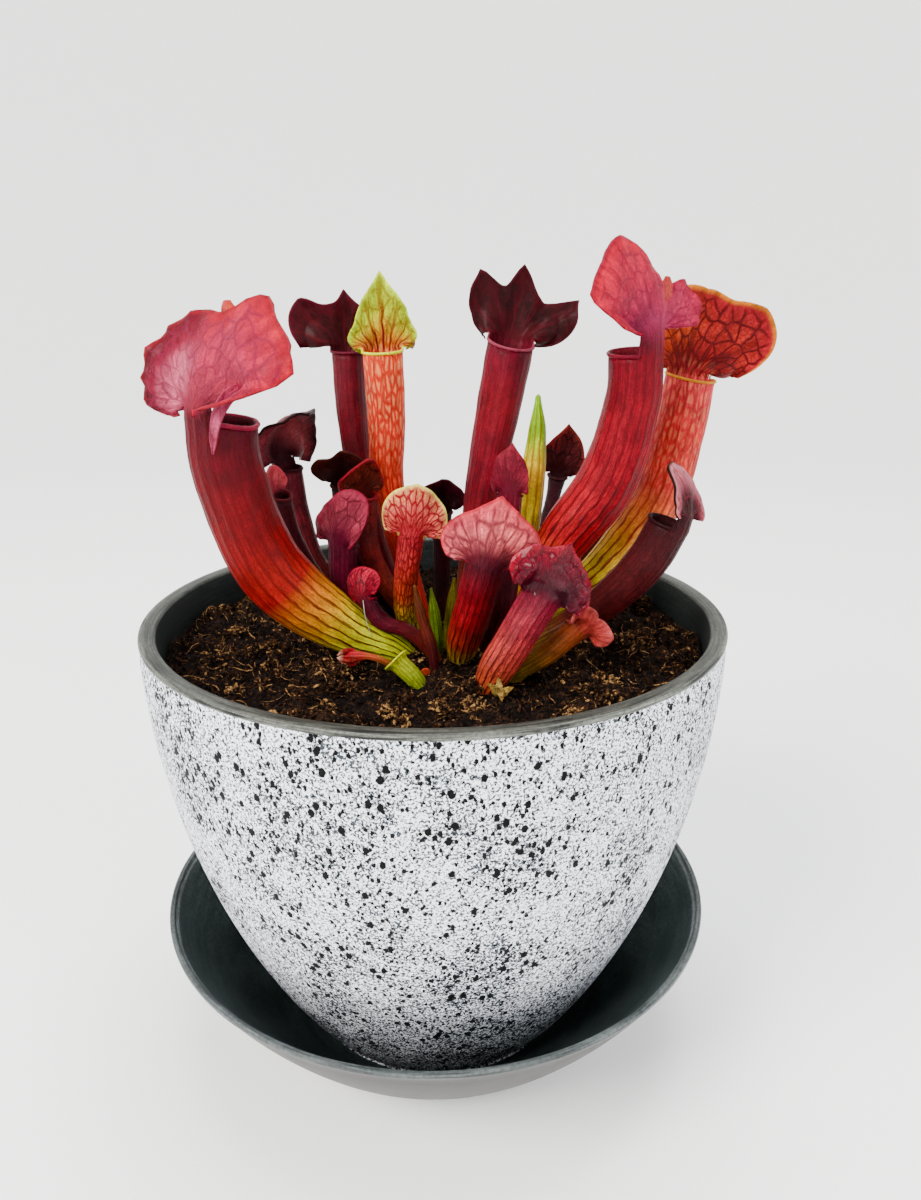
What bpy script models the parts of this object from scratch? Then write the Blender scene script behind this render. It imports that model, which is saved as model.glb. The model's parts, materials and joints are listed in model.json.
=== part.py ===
"""A bowl planter on its deep saucer, filled with peat, with a clump of pitcher plants.

Every pitcher is one leaf rolled into a tube: it leaves the peat thin, swells towards a round
mouth, and its back runs on upwards into a waved hood. Sizes are in millimetres and are turned
to metres where the meshes are made. +Z is up, the origin is on the ground under the middle of
the saucer, and -Y is the side that faces the viewer.
"""

import math
from collections import namedtuple

import bmesh
import bpy
from mathutils import Vector, noise
from mathutils.geometry import interpolate_bezier

MM = 0.001
GAP = 0.35
MERGE = 0.00001

# Pot, turned about Z
POT_Z = 6.0
POT_H = 160.0
POT_BASE_R = 48.0
POT_WALL = 4.0
POT_FLOOR = 5.0
POT_CURVE = (1.97, 1.13)
POT_STEPS = 8
RIM_R = 100.5
RIM_LIP_W = 5.6
RIM_ROUND = 1.2
RIM_BAND_H = 4.6
RIM_BAND_STEP = 0.9
RECESS_R = 38.0
RECESS_H = 1.6
DRAIN_HOLES = 4
DRAIN_R = 4.0
DRAIN_RING_R = 24.0
TURN_STEPS = 40

# Saucer, turned about Z
SAUCER_R = 100.5
SAUCER_H = 57.0
SAUCER_LIP_W = 2.6
SAUCER_ROUND = 0.7
SAUCER_FOOT_R = 50.0
SAUCER_SEAT_R = 49.5
SAUCER_CURVE = (1.15, 1.25)
SAUCER_STEPS = 6

# Soil
RIM_Z = POT_Z + POT_H
SOIL_DROP = 13.0
SOIL_Z = RIM_Z - SOIL_DROP
SOIL_RINGS = 9
LUMP_H = 2.4
LUMP_SIZE = 13.0
CROWN = Vector((8, -10, 0))
CROWN_R = 40.0

# Leaves
LEAF = 0.9
ROOT_R = 1.9
WING = 0.1
LINE_STEPS = 12
FRONT_STEPS = 6
BACK_STEPS = 8
STALK_SIDES = 8
LARGE_RINGS = 7
LARGE_HOOD_ROWS = 3
SMALL_RINGS = 5
SMALL_HOOD_ROWS = 2
ROOT_STEPS = 8
DRILL_SIDES = 12

# path: the points that the middle of the tube runs through, from its end in the peat to its mouth.
# girth and gape: the tube's widest radius and its mouth's. swell: how far up it reaches its girth.
# faces: the way its mouth looks, in degrees from +X.
Tube = namedtuple("Tube", "path girth gape swell faces", defaults=(0.8, -90))

# rise: the neck's length. arc: how far the neck reaches round the mouth from its back, to either
# side, in degrees. right and left: how far the hood reaches from its neck, at five angles from
# its tip to its side, as seen from the front. lean and curl: how far it tips over the mouth at
# its neck, and how much more by its tip. cup: how far its right and its left side turn in, or
# out below 0. wave and waves: the height and the number of the margin's waves. sweep: the angle
# from its tip to the last of its reaches.
Hood = namedtuple("Hood", "rise arc right left lean curl cup wave waves sweep",
                  defaults=((20, 20), 0.8, 3, 90))

LARGE = {
    "pitcher_left_large": (
        Tube(((-2, -12, 144), (-12, -14, 155), (-28, -16, 163), (-53, -19, 185), (-65, -20, 219),
              (-66, -19, 236)), 10.9, 10.8, 0.55, 40),
        Hood(4, 50, (28, 30, 30, 27, 18), (28, 38, 45, 48, 24), 10, 25, (-25, 15), 0.8, 3, 85),
    ),
    "pitcher_right_tall": (
        Tube(((24, 3, 144), (27, 3, 156), (44, 4, 188), (60, 5, 211), (67, 4, 238), (67, 3, 254)),
             9.8, 8.8, 0.6, 140),
        Hood(6, 50, (20, 38, 37, 18, 10), (20, 22, 21, 19, 16), 5, 20, (15, -25)),
    ),
    "pitcher_right_orange": (
        Tube(((31, 12, 144), (34, 12, 155), (59, 16, 173), (80, 22, 198), (88, 26, 225),
              (91, 27, 244)), 9.4, 8.8, 0.6, -85),
        Hood(2, 65, (25, 26, 33, 30, 20), (25, 30, 24, 20, 14), 8, 15, (20, 50)),
    ),
    "pitcher_right_hooked": (
        Tube(((27, -14, 144), (30, -15, 155), (51, -17, 169), (62, -19, 179), (71, -21, 191),
              (78, -22, 203)), 6.6, 7.4, 0.9, 160),
        Hood(4, 45, (26, 21, 17, 14, 10), (26, 21, 17, 14, 10), 25, 70, (20, 20)),
    ),
    "pitcher_back_centre": (
        Tube(((8, 12, 144), (9, 12, 155), (13, 16, 180), (17, 21, 204), (22, 26, 229), (27, 29, 256)),
             8.2, 8.3, 1.0, -90),
        Hood(2, 75, (24, 18, 28, 21, 13), (24, 18, 25, 18, 11), 2, 10, (12, 12)),
    ),
    "pitcher_back_yellow": (
        Tube(((-1, 7, 144), (-3, 8, 155), (-12, 14, 183), (-17, 18, 208), (-17, 20, 229),
              (-18, 22, 253)), 6.9, 7.0, 1.0, -90),
        Hood(1.5, 75, (26, 19, 14, 13, 11), (26, 19, 14, 13, 11), 2, 5, (10, 10)),
    ),
    "pitcher_back_left": (
        Tube(((-7, 14, 144), (-10, 16, 155), (-21, 24, 180), (-27, 30, 203), (-31, 36, 230),
              (-32, 39, 252)), 5.8, 6.0, 1.0, -75),
        Hood(2, 75, (19, 20, 15, 14, 12), (19, 14, 22, 20, 14), 2, 10, (10, 10)),
    ),
    "pitcher_front_pink": (
        Tube(((8, -16, 144), (9, -18, 155), (11, -24, 167), (14, -28, 179), (17, -31, 192)),
             5.8, 6.2, 0.45, 90),
        Hood(1, 60, (21, 18, 17, 16, 11), (21, 19, 18, 16, 12), 10, 25, (35, 35)),
    ),
    "pitcher_front_glossy": (
        Tube(((16, -40, 144), (18, -42, 155), (26, -42, 170), (34, -41, 184)), 6.0, 6.2, 0.5, 100),
        Hood(1, 60, (19, 16, 18, 17, 12), (19, 17, 18, 16, 12), 10, 30, (40, 40), 1.5),
    ),
    "pitcher_front_net": (
        Tube(((-5, -3, 144), (-6, -5, 155), (-10, -11, 168), (-9, -15, 183), (-7, -16, 197)),
             4.2, 4.4, 0.9, 90),
        Hood(1, 60, (17, 16, 15, 12, 9), (17, 16, 15, 13, 10), 5, 30, (40, 40)),
    ),
}

SMALL = {
    "pitcher_left_dark": (
        Tube(((-14, 12, 144), (-20, 15, 155), (-44, 20, 175), (-51, 23, 193), (-54, 24, 212)),
             4.9, 5.2, 0.8, -20),
        Hood(4, 60, (21, 21, 18, 13, 9), (21, 19, 16, 12, 9), 10, 40, (20, 20)),
    ),
    "pitcher_left_small": (
        Tube(((-17, 5, 144), (-24, 7, 156), (-41, 9, 172), (-50, 7, 190), (-53, 4, 206)),
             3.0, 3.2, 0.8, -30),
        Hood(1, 60, (10, 9, 8, 7, 5), (10, 9, 8, 7, 5), 5, 20),
    ),
    "pitcher_brown": (
        Tube(((-11, 22, 144), (-14, 23, 155), (-26, 22, 170), (-32, 19, 186), (-33, 19, 207)),
             4.2, 4.5, 0.8, -90),
        Hood(1, 55, (13, 11, 11, 10, 8), (13, 11, 13, 13, 8), 10, 40),
    ),
    "pitcher_netted": (
        Tube(((-1, 1, 144), (-4, 1, 155), (-15, 3, 170), (-23, 4, 186), (-24, 5, 206)),
             4.0, 4.2, 0.8, -60),
        Hood(1, 60, (15, 12, 10, 9, 7), (15, 13, 12, 11, 8), 10, 50, (20, 30)),
    ),
    "pitcher_purple": (
        Tube(((-10, -1, 144), (-14, -1, 155), (-26, -2, 167), (-31, -4, 178), (-31, -5, 191)),
             4.8, 5.0, 0.6, 60),
        Hood(1, 60, (18, 15, 12, 10, 8), (18, 15, 12, 10, 8), 0, 10, (40, 40)),
    ),
    "pitcher_black": (
        Tube(((0, 21, 144), (1, 23, 155), (2, 28, 170), (2, 31, 194)), 3.6, 4.0, 0.9, -90),
        Hood(1, 65, (13, 11, 11, 10, 7), (13, 12, 12, 10, 7), 10, 40),
    ),
    "pitcher_wine": (
        Tube(((12, 2, 144), (14, 1, 155), (20, 1, 170), (25, 1, 188), (26, 1, 207)), 4.0, 4.2, 0.8, 80),
        Hood(1, 60, (17, 13, 9, 8, 6), (17, 12, 9, 7, 6), 5, 10, (40, 40)),
    ),
    "pitcher_back_right": (
        Tube(((22, 22, 144), (24, 24, 155), (36, 32, 175), (43, 37, 192), (46, 39, 206)),
             2.7, 3.4, 0.9, -100),
        Hood(1, 60, (19, 15, 12, 10, 6), (19, 13, 11, 9, 6), 5, 10),
    ),
    "pitcher_right_stub": (
        Tube(((37, 20, 144), (40, 22, 155), (54, 27, 172), (62, 32, 184), (67, 36, 195)),
             4.0, 4.2, 0.8, -140),
        Hood(1.5, 50, (6, 6, 6, 6, 6), (6, 6, 6, 6, 6), 10, 10),
    ),
    "pitcher_front_dark": (
        Tube(((15, -8, 144), (18, -11, 155), (23, -15, 168), (25, -13, 184)), 4.0, 4.2, 0.8, 90),
        Hood(1, 60, (10, 9, 8, 7, 5), (10, 9, 8, 7, 5), 5, 20),
    ),
    "pitcher_front_low": (
        Tube(((23, -34, 144), (27, -35, 155), (37, -36, 163), (46, -35, 171)), 3.5, 3.8, 0.8, 150),
        Hood(1, 60, (10, 9, 8, 8, 6), (10, 9, 8, 8, 6), -10, 10, (-20, -20)),
    ),
    "pitcher_front_curled": (
        Tube(((2, -20, 144), (0, -20, 156), (-8, -19, 164), (-18, -19, 168), (-22, -18, 175)),
             2.6, 2.9, 0.8, 60),
        Hood(2, 50, (10, 9, 8, 7, 5), (10, 9, 8, 7, 5), 10, 60, (60, 60), 0.8, 3, 95),
    ),
    "pitcher_cut": (
        Tube(((-2, -38, 144), (-4, -38, 153), (-11, -36, 159)), 3.2, 3.6, 0.9, 90),
        None,
    ),
}

# path: as above. radii: the stalk's radius at even steps along it, between its closed ends.
Stalk = namedtuple("Stalk", "path radii")

STALKS = {
    "pitcher_unopened": Stalk(
        ((17, 11, 144), (20, 12, 155), (31, 13, 180), (34, 14, 202), (36, 16, 226), (36, 16, 239)),
        (1.9, 2.2, 3.0, 3.8, 4.3, 4.3, 4.0, 3.4, 1.6),
    ),
    "flower_bud": Stalk(
        ((-9, -29, 144), (-11, -30, 154), (-19, -32, 160), (-29, -31, 160)),
        (1.3, 1.3, 1.3, 1.3, 1.6, 3.4, 3.2),
    ),
    "stalk_green": Stalk(
        ((4, -3, 144), (5, -3, 159), (7, -2, 178)),
        (1.5, 1.5, 1.8, 1.4),
    ),
    "stalk_orange": Stalk(
        ((0, -27, 144), (0, -25, 158), (-4, -23, 172), (-6, -23, 182)),
        (1.5, 1.5, 1.8, 1.4),
    ),
    "leaf_young": Stalk(
        ((2, -13, 144), (1, -12, 160), (-1, -11, 177)),
        (1.5, 1.5, 2.0, 1.4),
    ),
}


# colour (sRGB), roughness and metallic of each object
Finish = namedtuple("Finish", "colour roughness metallic", defaults=(0.45, 0.0))

FINISHES = {
    "pot": Finish("#b9bcc2", 0.6),
    "saucer": Finish("#8f9298", 0.6),
    "soil": Finish("#2c1d15", 0.95),
    "pitcher_left_large": Finish("#b0404a"),
    "pitcher_right_tall": Finish("#a83a52"),
    "pitcher_right_orange": Finish("#c8662f"),
    "pitcher_right_hooked": Finish("#54242b"),
    "pitcher_back_centre": Finish("#7d2a33"),
    "pitcher_back_yellow": Finish("#b5a040"),
    "pitcher_back_left": Finish("#5c1a2a"),
    "pitcher_front_pink": Finish("#c9858c"),
    "pitcher_front_glossy": Finish("#9a3f57", 0.25),
    "pitcher_front_net": Finish("#d3a98c"),
    "pitcher_left_dark": Finish("#5a2128"),
    "pitcher_left_small": Finish("#b4625a"),
    "pitcher_brown": Finish("#35191a"),
    "pitcher_netted": Finish("#8a3b33"),
    "pitcher_purple": Finish("#8b2a50"),
    "pitcher_black": Finish("#241215"),
    "pitcher_wine": Finish("#6a1f2c"),
    "pitcher_back_right": Finish("#5b1c24"),
    "pitcher_right_stub": Finish("#4a2a26"),
    "pitcher_front_dark": Finish("#4c1b24"),
    "pitcher_front_low": Finish("#b06a50"),
    "pitcher_front_curled": Finish("#a8303c"),
    "pitcher_cut": Finish("#8a9440"),
    "pitcher_unopened": Finish("#b3a544"),
    "flower_bud": Finish("#b03a3c"),
    "stalk_green": Finish("#9a9a3c"),
    "stalk_orange": Finish("#a85030"),
    "leaf_young": Finish("#7a9038"),
}


def clear_scene():
    """Start from an empty file."""
    for thing in list(bpy.data.objects):
        bpy.data.objects.remove(thing)


def new_collection(name):
    """A collection in the scene."""
    group = bpy.data.collections.new(name)
    bpy.context.scene.collection.children.link(group)
    return group


def linear_colour(hex_colour):
    """A colour written as #rrggbb in sRGB, as linear red, green, blue and alpha."""
    parts = [int(hex_colour[i:i + 2], 16) / 255 for i in (1, 3, 5)]
    colour = [part / 12.92 if part <= 0.04045 else ((part + 0.055) / 1.055) ** 2.4 for part in parts]
    return colour + [1]


def new_material(name):
    """The material of the object with this name, after the table of finishes."""
    finish = FINISHES[name]
    material = bpy.data.materials.new(name)
    material.use_nodes = True
    shader = material.node_tree.nodes["Principled BSDF"]
    shader.inputs["Base Color"].default_value = linear_colour(finish.colour)
    shader.inputs["Roughness"].default_value = finish.roughness
    shader.inputs["Metallic"].default_value = finish.metallic
    material.diffuse_color = linear_colour(finish.colour)
    return material


def mix(a, b, share):
    """The value that lies a share of the way from a to b."""
    return a + (b - a) * share


def ease(share):
    """A share from 0 to 1, with a soft start and a soft end."""
    share = min(max(share, 0), 1)
    return share * share * (3 - 2 * share)


def arc(start, turn, length, distance):
    """How far forward and along a bent line gets in a distance, bending by turn over length."""
    rate = turn / length
    if abs(rate) < 1e-9:
        return math.sin(start) * distance, math.cos(start) * distance
    end = start + rate * distance
    return (math.cos(start) - math.cos(end)) / rate, (math.sin(end) - math.sin(start)) / rate


def smooth_line(points):
    """A smooth line through the points, in short steps."""
    points = [Vector(point) for point in points]
    line = []
    for i, (start, end) in enumerate(zip(points, points[1:])):
        before = points[max(i - 1, 0)]
        after = points[min(i + 2, len(points) - 1)]
        reach = (end - start).length / 3
        leave = start + (end - before).normalized() * reach
        arrive = end - (after - start).normalized() * reach
        line += interpolate_bezier(start, leave, arrive, end, LINE_STEPS)[:-1]
    return line + [points[-1]]


def line_frames(path, faces, shares):
    """For each share of the path's length: its point, its direction, and its front and right."""
    line = smooth_line(path)
    travelled = [0.0]
    for a, b in zip(line, line[1:]):
        travelled.append(travelled[-1] + (b - a).length)
    places = []
    for share in shares:
        goal = share * travelled[-1]
        i = next(i for i in range(1, len(line)) if travelled[i] >= goal - 1e-9)
        part = (goal - travelled[i - 1]) / (travelled[i] - travelled[i - 1])
        places.append((line[i - 1].lerp(line[i], part), (line[i] - line[i - 1]).normalized()))
    top = places[-1][1]
    front = Vector((math.cos(math.radians(faces)), math.sin(math.radians(faces)), 0))
    front = (front - top * front.dot(top)).normalized()
    frames = []
    for place, up in reversed(places):
        front = top.rotation_difference(up) @ front
        top = up
        frames.append((place, up, front, up.cross(front)))
    return frames[::-1]


def tube_radius(tube, share):
    """The tube's radius at a share of its length."""
    rise = math.sin(min(share / tube.swell, 1) * math.pi / 2) ** 1.2
    body = mix(tube.girth, tube.gape, ease((share - tube.swell) / max(1 - tube.swell, 0.01)))
    return mix(ROOT_R, body, rise)


def tube_point(frame, radius, angle):
    """A point of the tube's skin; the angle runs from its back, and the front has a low wing."""
    place, up, front, right = frame
    radius *= 1 + WING * max(-math.cos(angle), 0) ** 8
    return place - (front * math.cos(angle) + right * math.sin(angle)) * radius


def hood_point(tube, hood, frame, across, out):
    """A point of the hood: across runs from -1, its right side, to 1, and out from neck to margin."""
    place, up, front, right = frame
    angle = math.radians(hood.sweep) * across
    reach = hood.left if across > 0 else hood.right
    step = min(abs(across) * (len(reach) - 1), len(reach) - 1.001)
    span = mix(reach[int(step)], reach[int(step) + 1], ease(step % 1))
    neck = tube.gape * math.radians(hood.arc)
    side = mix(-neck * across, -span * math.sin(angle), out)
    high = span * math.cos(angle) * out
    lean = math.radians(hood.lean)
    curl = math.radians(hood.curl)
    forward, along = arc(lean, curl if high > 0 else 0, max(reach[0], 1), high)
    bend = lean + (curl * high / reach[0] if high > 0 else 0)
    inward = front * math.cos(bend) - up * math.sin(bend)
    wide = max(hood.right[3], 1)
    cup = math.radians(hood.cup[1] if across > 0 else hood.cup[0])
    turn = mix(wide / tube.gape, cup, ease(out * 1.6))
    sink, aside = arc(0, turn, wide, abs(side))
    aside = math.copysign(aside, side)
    base = place - front * tube.gape
    base += up * hood.rise * math.cos(lean / 2) + front * hood.rise * math.sin(lean / 2)
    ripple = hood.wave * math.sin(angle * hood.waves) * out * out
    return base + up * along + front * forward + right * aside + inward * (sink + ripple)


def grid_sheet(columns, rows, place):
    """A grid of faces whose corners lie where place(column, row) says; None leaves one out."""
    sheet = bmesh.new()
    bmesh.ops.create_grid(sheet, x_segments=columns, y_segments=rows, size=1)
    spare = []
    for corner in sheet.verts:
        column = round((corner.co.x + 1) / 2 * columns)
        row = round((corner.co.y + 1) / 2 * rows)
        point = place(column, row)
        if point is None:
            spare.append(corner)
        else:
            corner.co = point * MM
    bmesh.ops.delete(sheet, geom=spare, context="VERTS")
    bmesh.ops.remove_doubles(sheet, verts=sheet.verts, dist=MERGE)
    bmesh.ops.triangulate(sheet, faces=sheet.faces, quad_method="SHORT_EDGE")
    return sheet


def add_object(name, sheet, group):
    """An object in a collection, made from a bmesh, and shaded smooth."""
    mesh = bpy.data.meshes.new(name)
    sheet.to_mesh(mesh)
    sheet.free()
    mesh.shade_smooth()
    if name in FINISHES:
        mesh.materials.append(new_material(name))
    thing = bpy.data.objects.new(name, mesh)
    group.objects.link(thing)
    return thing


def leaf_ring(column, hood):
    """The angle of a column round the tube: closer together where the hood's neck is."""
    half = FRONT_STEPS // 2
    neck = math.radians(hood.arc if hood else 60)
    if column < half:
        return mix(-math.pi, -neck, column / half)
    if column > half + BACK_STEPS:
        return mix(neck, math.pi, (column - half - BACK_STEPS) / half)
    return mix(-neck, neck, (column - half) / BACK_STEPS)


def leaf_sheet(tube, hood, rings, hood_rows):
    """A leaf as one sheet: its columns run round the tube, and the back ones on into the hood."""
    half = FRONT_STEPS // 2
    shares = [i / rings for i in range(rings + 1)]
    frames = line_frames(tube.path, tube.faces, shares)

    def place(column, row):
        back = half <= column <= half + BACK_STEPS
        if row == 0:
            return frames[0][0]
        if row < rings - 1 and back:
            column -= (column - half) % 2
        angle = leaf_ring(column, hood)
        if row <= rings:
            return tube_point(frames[row], tube_radius(tube, shares[row]), angle)
        if back:
            across = angle / math.radians(hood.arc)
            return hood_point(tube, hood, frames[-1], across, (row - rings - 1) / hood_rows)
        return None

    rows = rings + (1 + hood_rows if hood else 0)
    return grid_sheet(FRONT_STEPS + BACK_STEPS, rows, place)


def pitcher(name, tube, hood, rings, hood_rows, group):
    """A leaf with its thickness."""
    leaf = add_object(name, leaf_sheet(tube, hood, rings, hood_rows), group)
    wall = leaf.modifiers.new("leaf thickness", "SOLIDIFY")
    wall.thickness = LEAF * MM
    wall.offset = -1
    return leaf


def rod_sheet(path, radii, sides=STALK_SIDES, extra=0.0):
    """A closed rod along a path: its ends draw in to points, an extra distance past its own."""
    path = [Vector(point) for point in path]
    path[0] -= (path[1] - path[0]).normalized() * extra
    path[-1] += (path[-1] - path[-2]).normalized() * extra
    rings = len(radii) + 1
    shares = [0.0] + [mix(0.04, 0.96, i / (rings - 2)) for i in range(rings - 1)] + [1.0]
    frames = line_frames(path, 0, shares)

    def place(column, row):
        radius = radii[row - 1] + extra if 0 < row < rings else 0
        angle = 2 * math.pi * column / sides
        middle, up, front, right = frames[row]
        return middle - (front * math.cos(angle) + right * math.sin(angle)) * radius

    return grid_sheet(sides, rings, place)


def hole_cutter(name, path, radii, group):
    """A guide that cuts a leaf's or a stalk's place out of the peat, a little wider than it."""
    cutter = add_object(name, rod_sheet(path, radii, extra=GAP), group)
    cutter.hide_render = True
    cutter.display_type = "WIRE"


def bowl_curve(curve, share):
    """How far a bowl's wall stands out, from 1 at its rim to 0 at its base, at a share of its depth."""
    return (1 - share ** curve[0]) ** (1 / curve[1])


def bowl_wall(curve, rim, base, steps):
    """Points (radius, height) down a bowl's wall, closer together towards its base."""
    points = []
    for i in range(steps + 1):
        share = math.sin(math.pi / 2 * i / steps)
        radius = mix(base[0], rim[0], bowl_curve(curve, share))
        points.append((radius, mix(rim[1], base[1], share)))
    return points


def pot_inside(margin=0.0):
    """Points down the inside of the pot's wall, from its rim to its floor."""
    rim = (RIM_R - RIM_LIP_W, POT_Z + POT_H)
    base = (POT_BASE_R - POT_WALL, POT_Z + POT_FLOOR)
    wall = bowl_wall(POT_CURVE, rim, base, POT_STEPS)
    return [(radius - margin * 1.5, height + margin) for radius, height in wall]


def below(points, height):
    """The part of a falling line of points that is below a height, cut off level there."""
    i = next(i for i, point in enumerate(points) if point[1] < height)
    share = (points[i - 1][1] - height) / (points[i - 1][1] - points[i][1])
    return [(mix(points[i - 1][0], points[i][0], share), height)] + points[i:]


def turned(name, profile, group):
    """A solid turned about Z from its profile: radius and height, down its outer side."""
    outline = bmesh.new()
    corners = [outline.verts.new(Vector((radius, 0, height)) * MM) for radius, height in profile]
    for a, b in zip(corners, corners[1:]):
        outline.edges.new((a, b))
    thing = add_object(name, outline, group)
    screw = thing.modifiers.new("turn", "SCREW")
    screw.steps = TURN_STEPS
    screw.render_steps = TURN_STEPS
    screw.use_merge_vertices = True
    screw.merge_threshold = MERGE
    return thing


def pot(group, cutters):
    """The bowl, with its rim band, its recessed base and its drain holes."""
    top = POT_Z + POT_H
    inner = RIM_R - RIM_LIP_W
    body = bowl_wall(POT_CURVE, (RIM_R, top), (POT_BASE_R, POT_Z), POT_STEPS)
    inside = below(pot_inside(), top - RIM_ROUND)
    profile = [(0, POT_Z + POT_FLOOR)] + inside[::-1]
    profile += [(inner + RIM_ROUND, top), (RIM_R - RIM_ROUND, top), (RIM_R, top - RIM_ROUND)]
    profile += [(RIM_R, top - RIM_BAND_H), (RIM_R - RIM_BAND_STEP, top - RIM_BAND_H - RIM_BAND_STEP)]
    profile += [point for point in body if top - RIM_BAND_H - 2 > point[1] > POT_Z]
    profile += [(POT_BASE_R, POT_Z), (RECESS_R + RECESS_H, POT_Z)]
    profile += [(RECESS_R, POT_Z + RECESS_H), (0, POT_Z + RECESS_H)]
    bowl = turned("pot", profile, group)
    for i in range(DRAIN_HOLES):
        turn = 2 * math.pi * (i + 0.5) / DRAIN_HOLES
        place = Vector((math.cos(turn), math.sin(turn), 0)) * DRAIN_RING_R
        place.z = POT_Z + POT_FLOOR / 2
        drill = bmesh.new()
        bmesh.ops.create_cone(drill, cap_ends=True, segments=DRILL_SIDES, radius1=DRAIN_R * MM,
                              radius2=DRAIN_R * MM, depth=POT_FLOOR * 2 * MM)
        bmesh.ops.translate(drill, verts=drill.verts, vec=place * MM)
        cutter = add_object(f"drain_hole_{i + 1}", drill, cutters)
        cutter.hide_render = True
        cutter.display_type = "WIRE"
    drain = bowl.modifiers.new("drain holes", "BOOLEAN")
    drain.operand_type = "COLLECTION"
    drain.collection = cutters
    return bowl


def saucer(group):
    """The deep saucer: a shallower bowl, flat underneath."""
    floor = POT_Z - GAP
    inner = SAUCER_R - SAUCER_LIP_W
    outside = bowl_wall(SAUCER_CURVE, (SAUCER_R, SAUCER_H), (SAUCER_FOOT_R, 0), SAUCER_STEPS)
    inside = bowl_wall(SAUCER_CURVE, (inner, SAUCER_H), (SAUCER_SEAT_R, floor), SAUCER_STEPS)
    profile = [(0, floor)] + inside[:0:-1]
    profile += [(inner, SAUCER_H - SAUCER_ROUND), (inner + SAUCER_ROUND, SAUCER_H)]
    profile += [(SAUCER_R - SAUCER_ROUND, SAUCER_H), (SAUCER_R, SAUCER_H - SAUCER_ROUND)]
    profile += outside[1:] + [(0, 0)]
    return turned("saucer", profile, group)


def soil(group, cutters):
    """The peat that fills the pot: its top is lumpy, with a hole for each leaf and stalk."""
    wall = below(pot_inside(GAP), SOIL_Z)
    edge = wall[0][0]
    top = [(edge * i / SOIL_RINGS, SOIL_Z) for i in range(SOIL_RINGS)]
    fill = bmesh.new()
    profile = top + wall + [(0, wall[-1][1])]
    corners = [fill.verts.new(Vector((radius, 0, height)) * MM) for radius, height in profile]
    edges = [fill.edges.new(pair) for pair in zip(corners, corners[1:])]
    bmesh.ops.spin(fill, geom=corners + edges, axis=(0, 0, 1), cent=(0, 0, 0), angle=2 * math.pi,
                   steps=TURN_STEPS, use_merge=True)
    bmesh.ops.remove_doubles(fill, verts=fill.verts, dist=MERGE)
    bmesh.ops.recalc_face_normals(fill, faces=fill.faces)
    for corner in fill.verts:
        place = corner.co / MM
        radius = place.xy.length
        if place.z > SOIL_Z - 1 and radius < edge - 1:
            rough = noise.noise(place / LUMP_SIZE) + noise.noise(place / LUMP_SIZE * 2.7) / 2
            calm = ease((place - CROWN).xy.length / CROWN_R) * 0.8 + 0.2
            corner.co.z += LUMP_H * rough * calm * MM
    bmesh.ops.triangulate(fill, faces=fill.faces)
    peat = add_object("soil", fill, group)
    holes = peat.modifiers.new("root holes", "BOOLEAN")
    holes.operand_type = "COLLECTION"
    holes.collection = cutters
    return peat


def main():
    clear_scene()
    group = new_collection("potted_pitcher_plant")
    drains = new_collection("drain_cutters")
    holes = new_collection("hole_cutters")
    pot(group, drains)
    saucer(group)
    soil(group, holes)
    sizes = ((LARGE, LARGE_RINGS, LARGE_HOOD_ROWS), (SMALL, SMALL_RINGS, SMALL_HOOD_ROWS))
    for leaves, rings, hood_rows in sizes:
        for name, (tube, hood) in leaves.items():
            pitcher(name, tube, hood, rings, hood_rows, group)
            shares = [i / ROOT_STEPS for i in range(1, ROOT_STEPS)]
            radii = [tube_radius(tube, share) * (1 + WING) for share in shares]
            hole_cutter("hole_" + name, tube.path, radii, holes)
    for name, stalk in STALKS.items():
        add_object(name, rod_sheet(stalk.path, stalk.radii), group)
        hole_cutter("hole_" + name, stalk.path, stalk.radii, holes)


main()
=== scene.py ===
"""Looks for a bowl planter on its deep saucer, filled with peat, with a clump of pitcher plants.

Sizes are in millimetres and are turned to metres where the meshes are made. +Z is up, the origin
is on the ground under the middle of the saucer, and -Y is the side that faces the viewer. The
leaves' paths and hoods are those of the solids, made again here with finer skins.
"""

import json
import math
import random
from collections import namedtuple
from functools import partial

import bmesh
import bpy
from mathutils import Euler, Matrix, Vector, noise
from mathutils.geometry import interpolate_bezier

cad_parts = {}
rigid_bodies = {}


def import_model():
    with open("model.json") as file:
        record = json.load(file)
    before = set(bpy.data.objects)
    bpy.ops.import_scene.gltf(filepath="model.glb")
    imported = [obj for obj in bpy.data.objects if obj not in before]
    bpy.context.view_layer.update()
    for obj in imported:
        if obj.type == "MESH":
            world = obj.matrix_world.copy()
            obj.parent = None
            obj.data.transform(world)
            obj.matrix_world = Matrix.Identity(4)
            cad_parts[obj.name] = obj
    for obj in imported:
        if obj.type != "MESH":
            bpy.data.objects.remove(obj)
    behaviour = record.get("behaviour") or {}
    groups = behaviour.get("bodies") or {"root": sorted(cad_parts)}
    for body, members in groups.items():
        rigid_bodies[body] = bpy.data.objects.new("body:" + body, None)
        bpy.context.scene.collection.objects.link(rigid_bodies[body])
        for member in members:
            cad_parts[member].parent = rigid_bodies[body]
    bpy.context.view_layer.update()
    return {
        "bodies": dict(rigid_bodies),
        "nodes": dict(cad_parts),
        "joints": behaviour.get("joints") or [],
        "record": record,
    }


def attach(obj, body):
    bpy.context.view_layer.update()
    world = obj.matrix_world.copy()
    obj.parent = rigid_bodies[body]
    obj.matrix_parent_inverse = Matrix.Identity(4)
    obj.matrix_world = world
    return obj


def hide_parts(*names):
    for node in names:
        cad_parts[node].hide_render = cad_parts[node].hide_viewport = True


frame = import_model()

MM = 0.001
MERGE = 0.00001
ROUND = 2 * math.pi
SEED = 7

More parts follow.
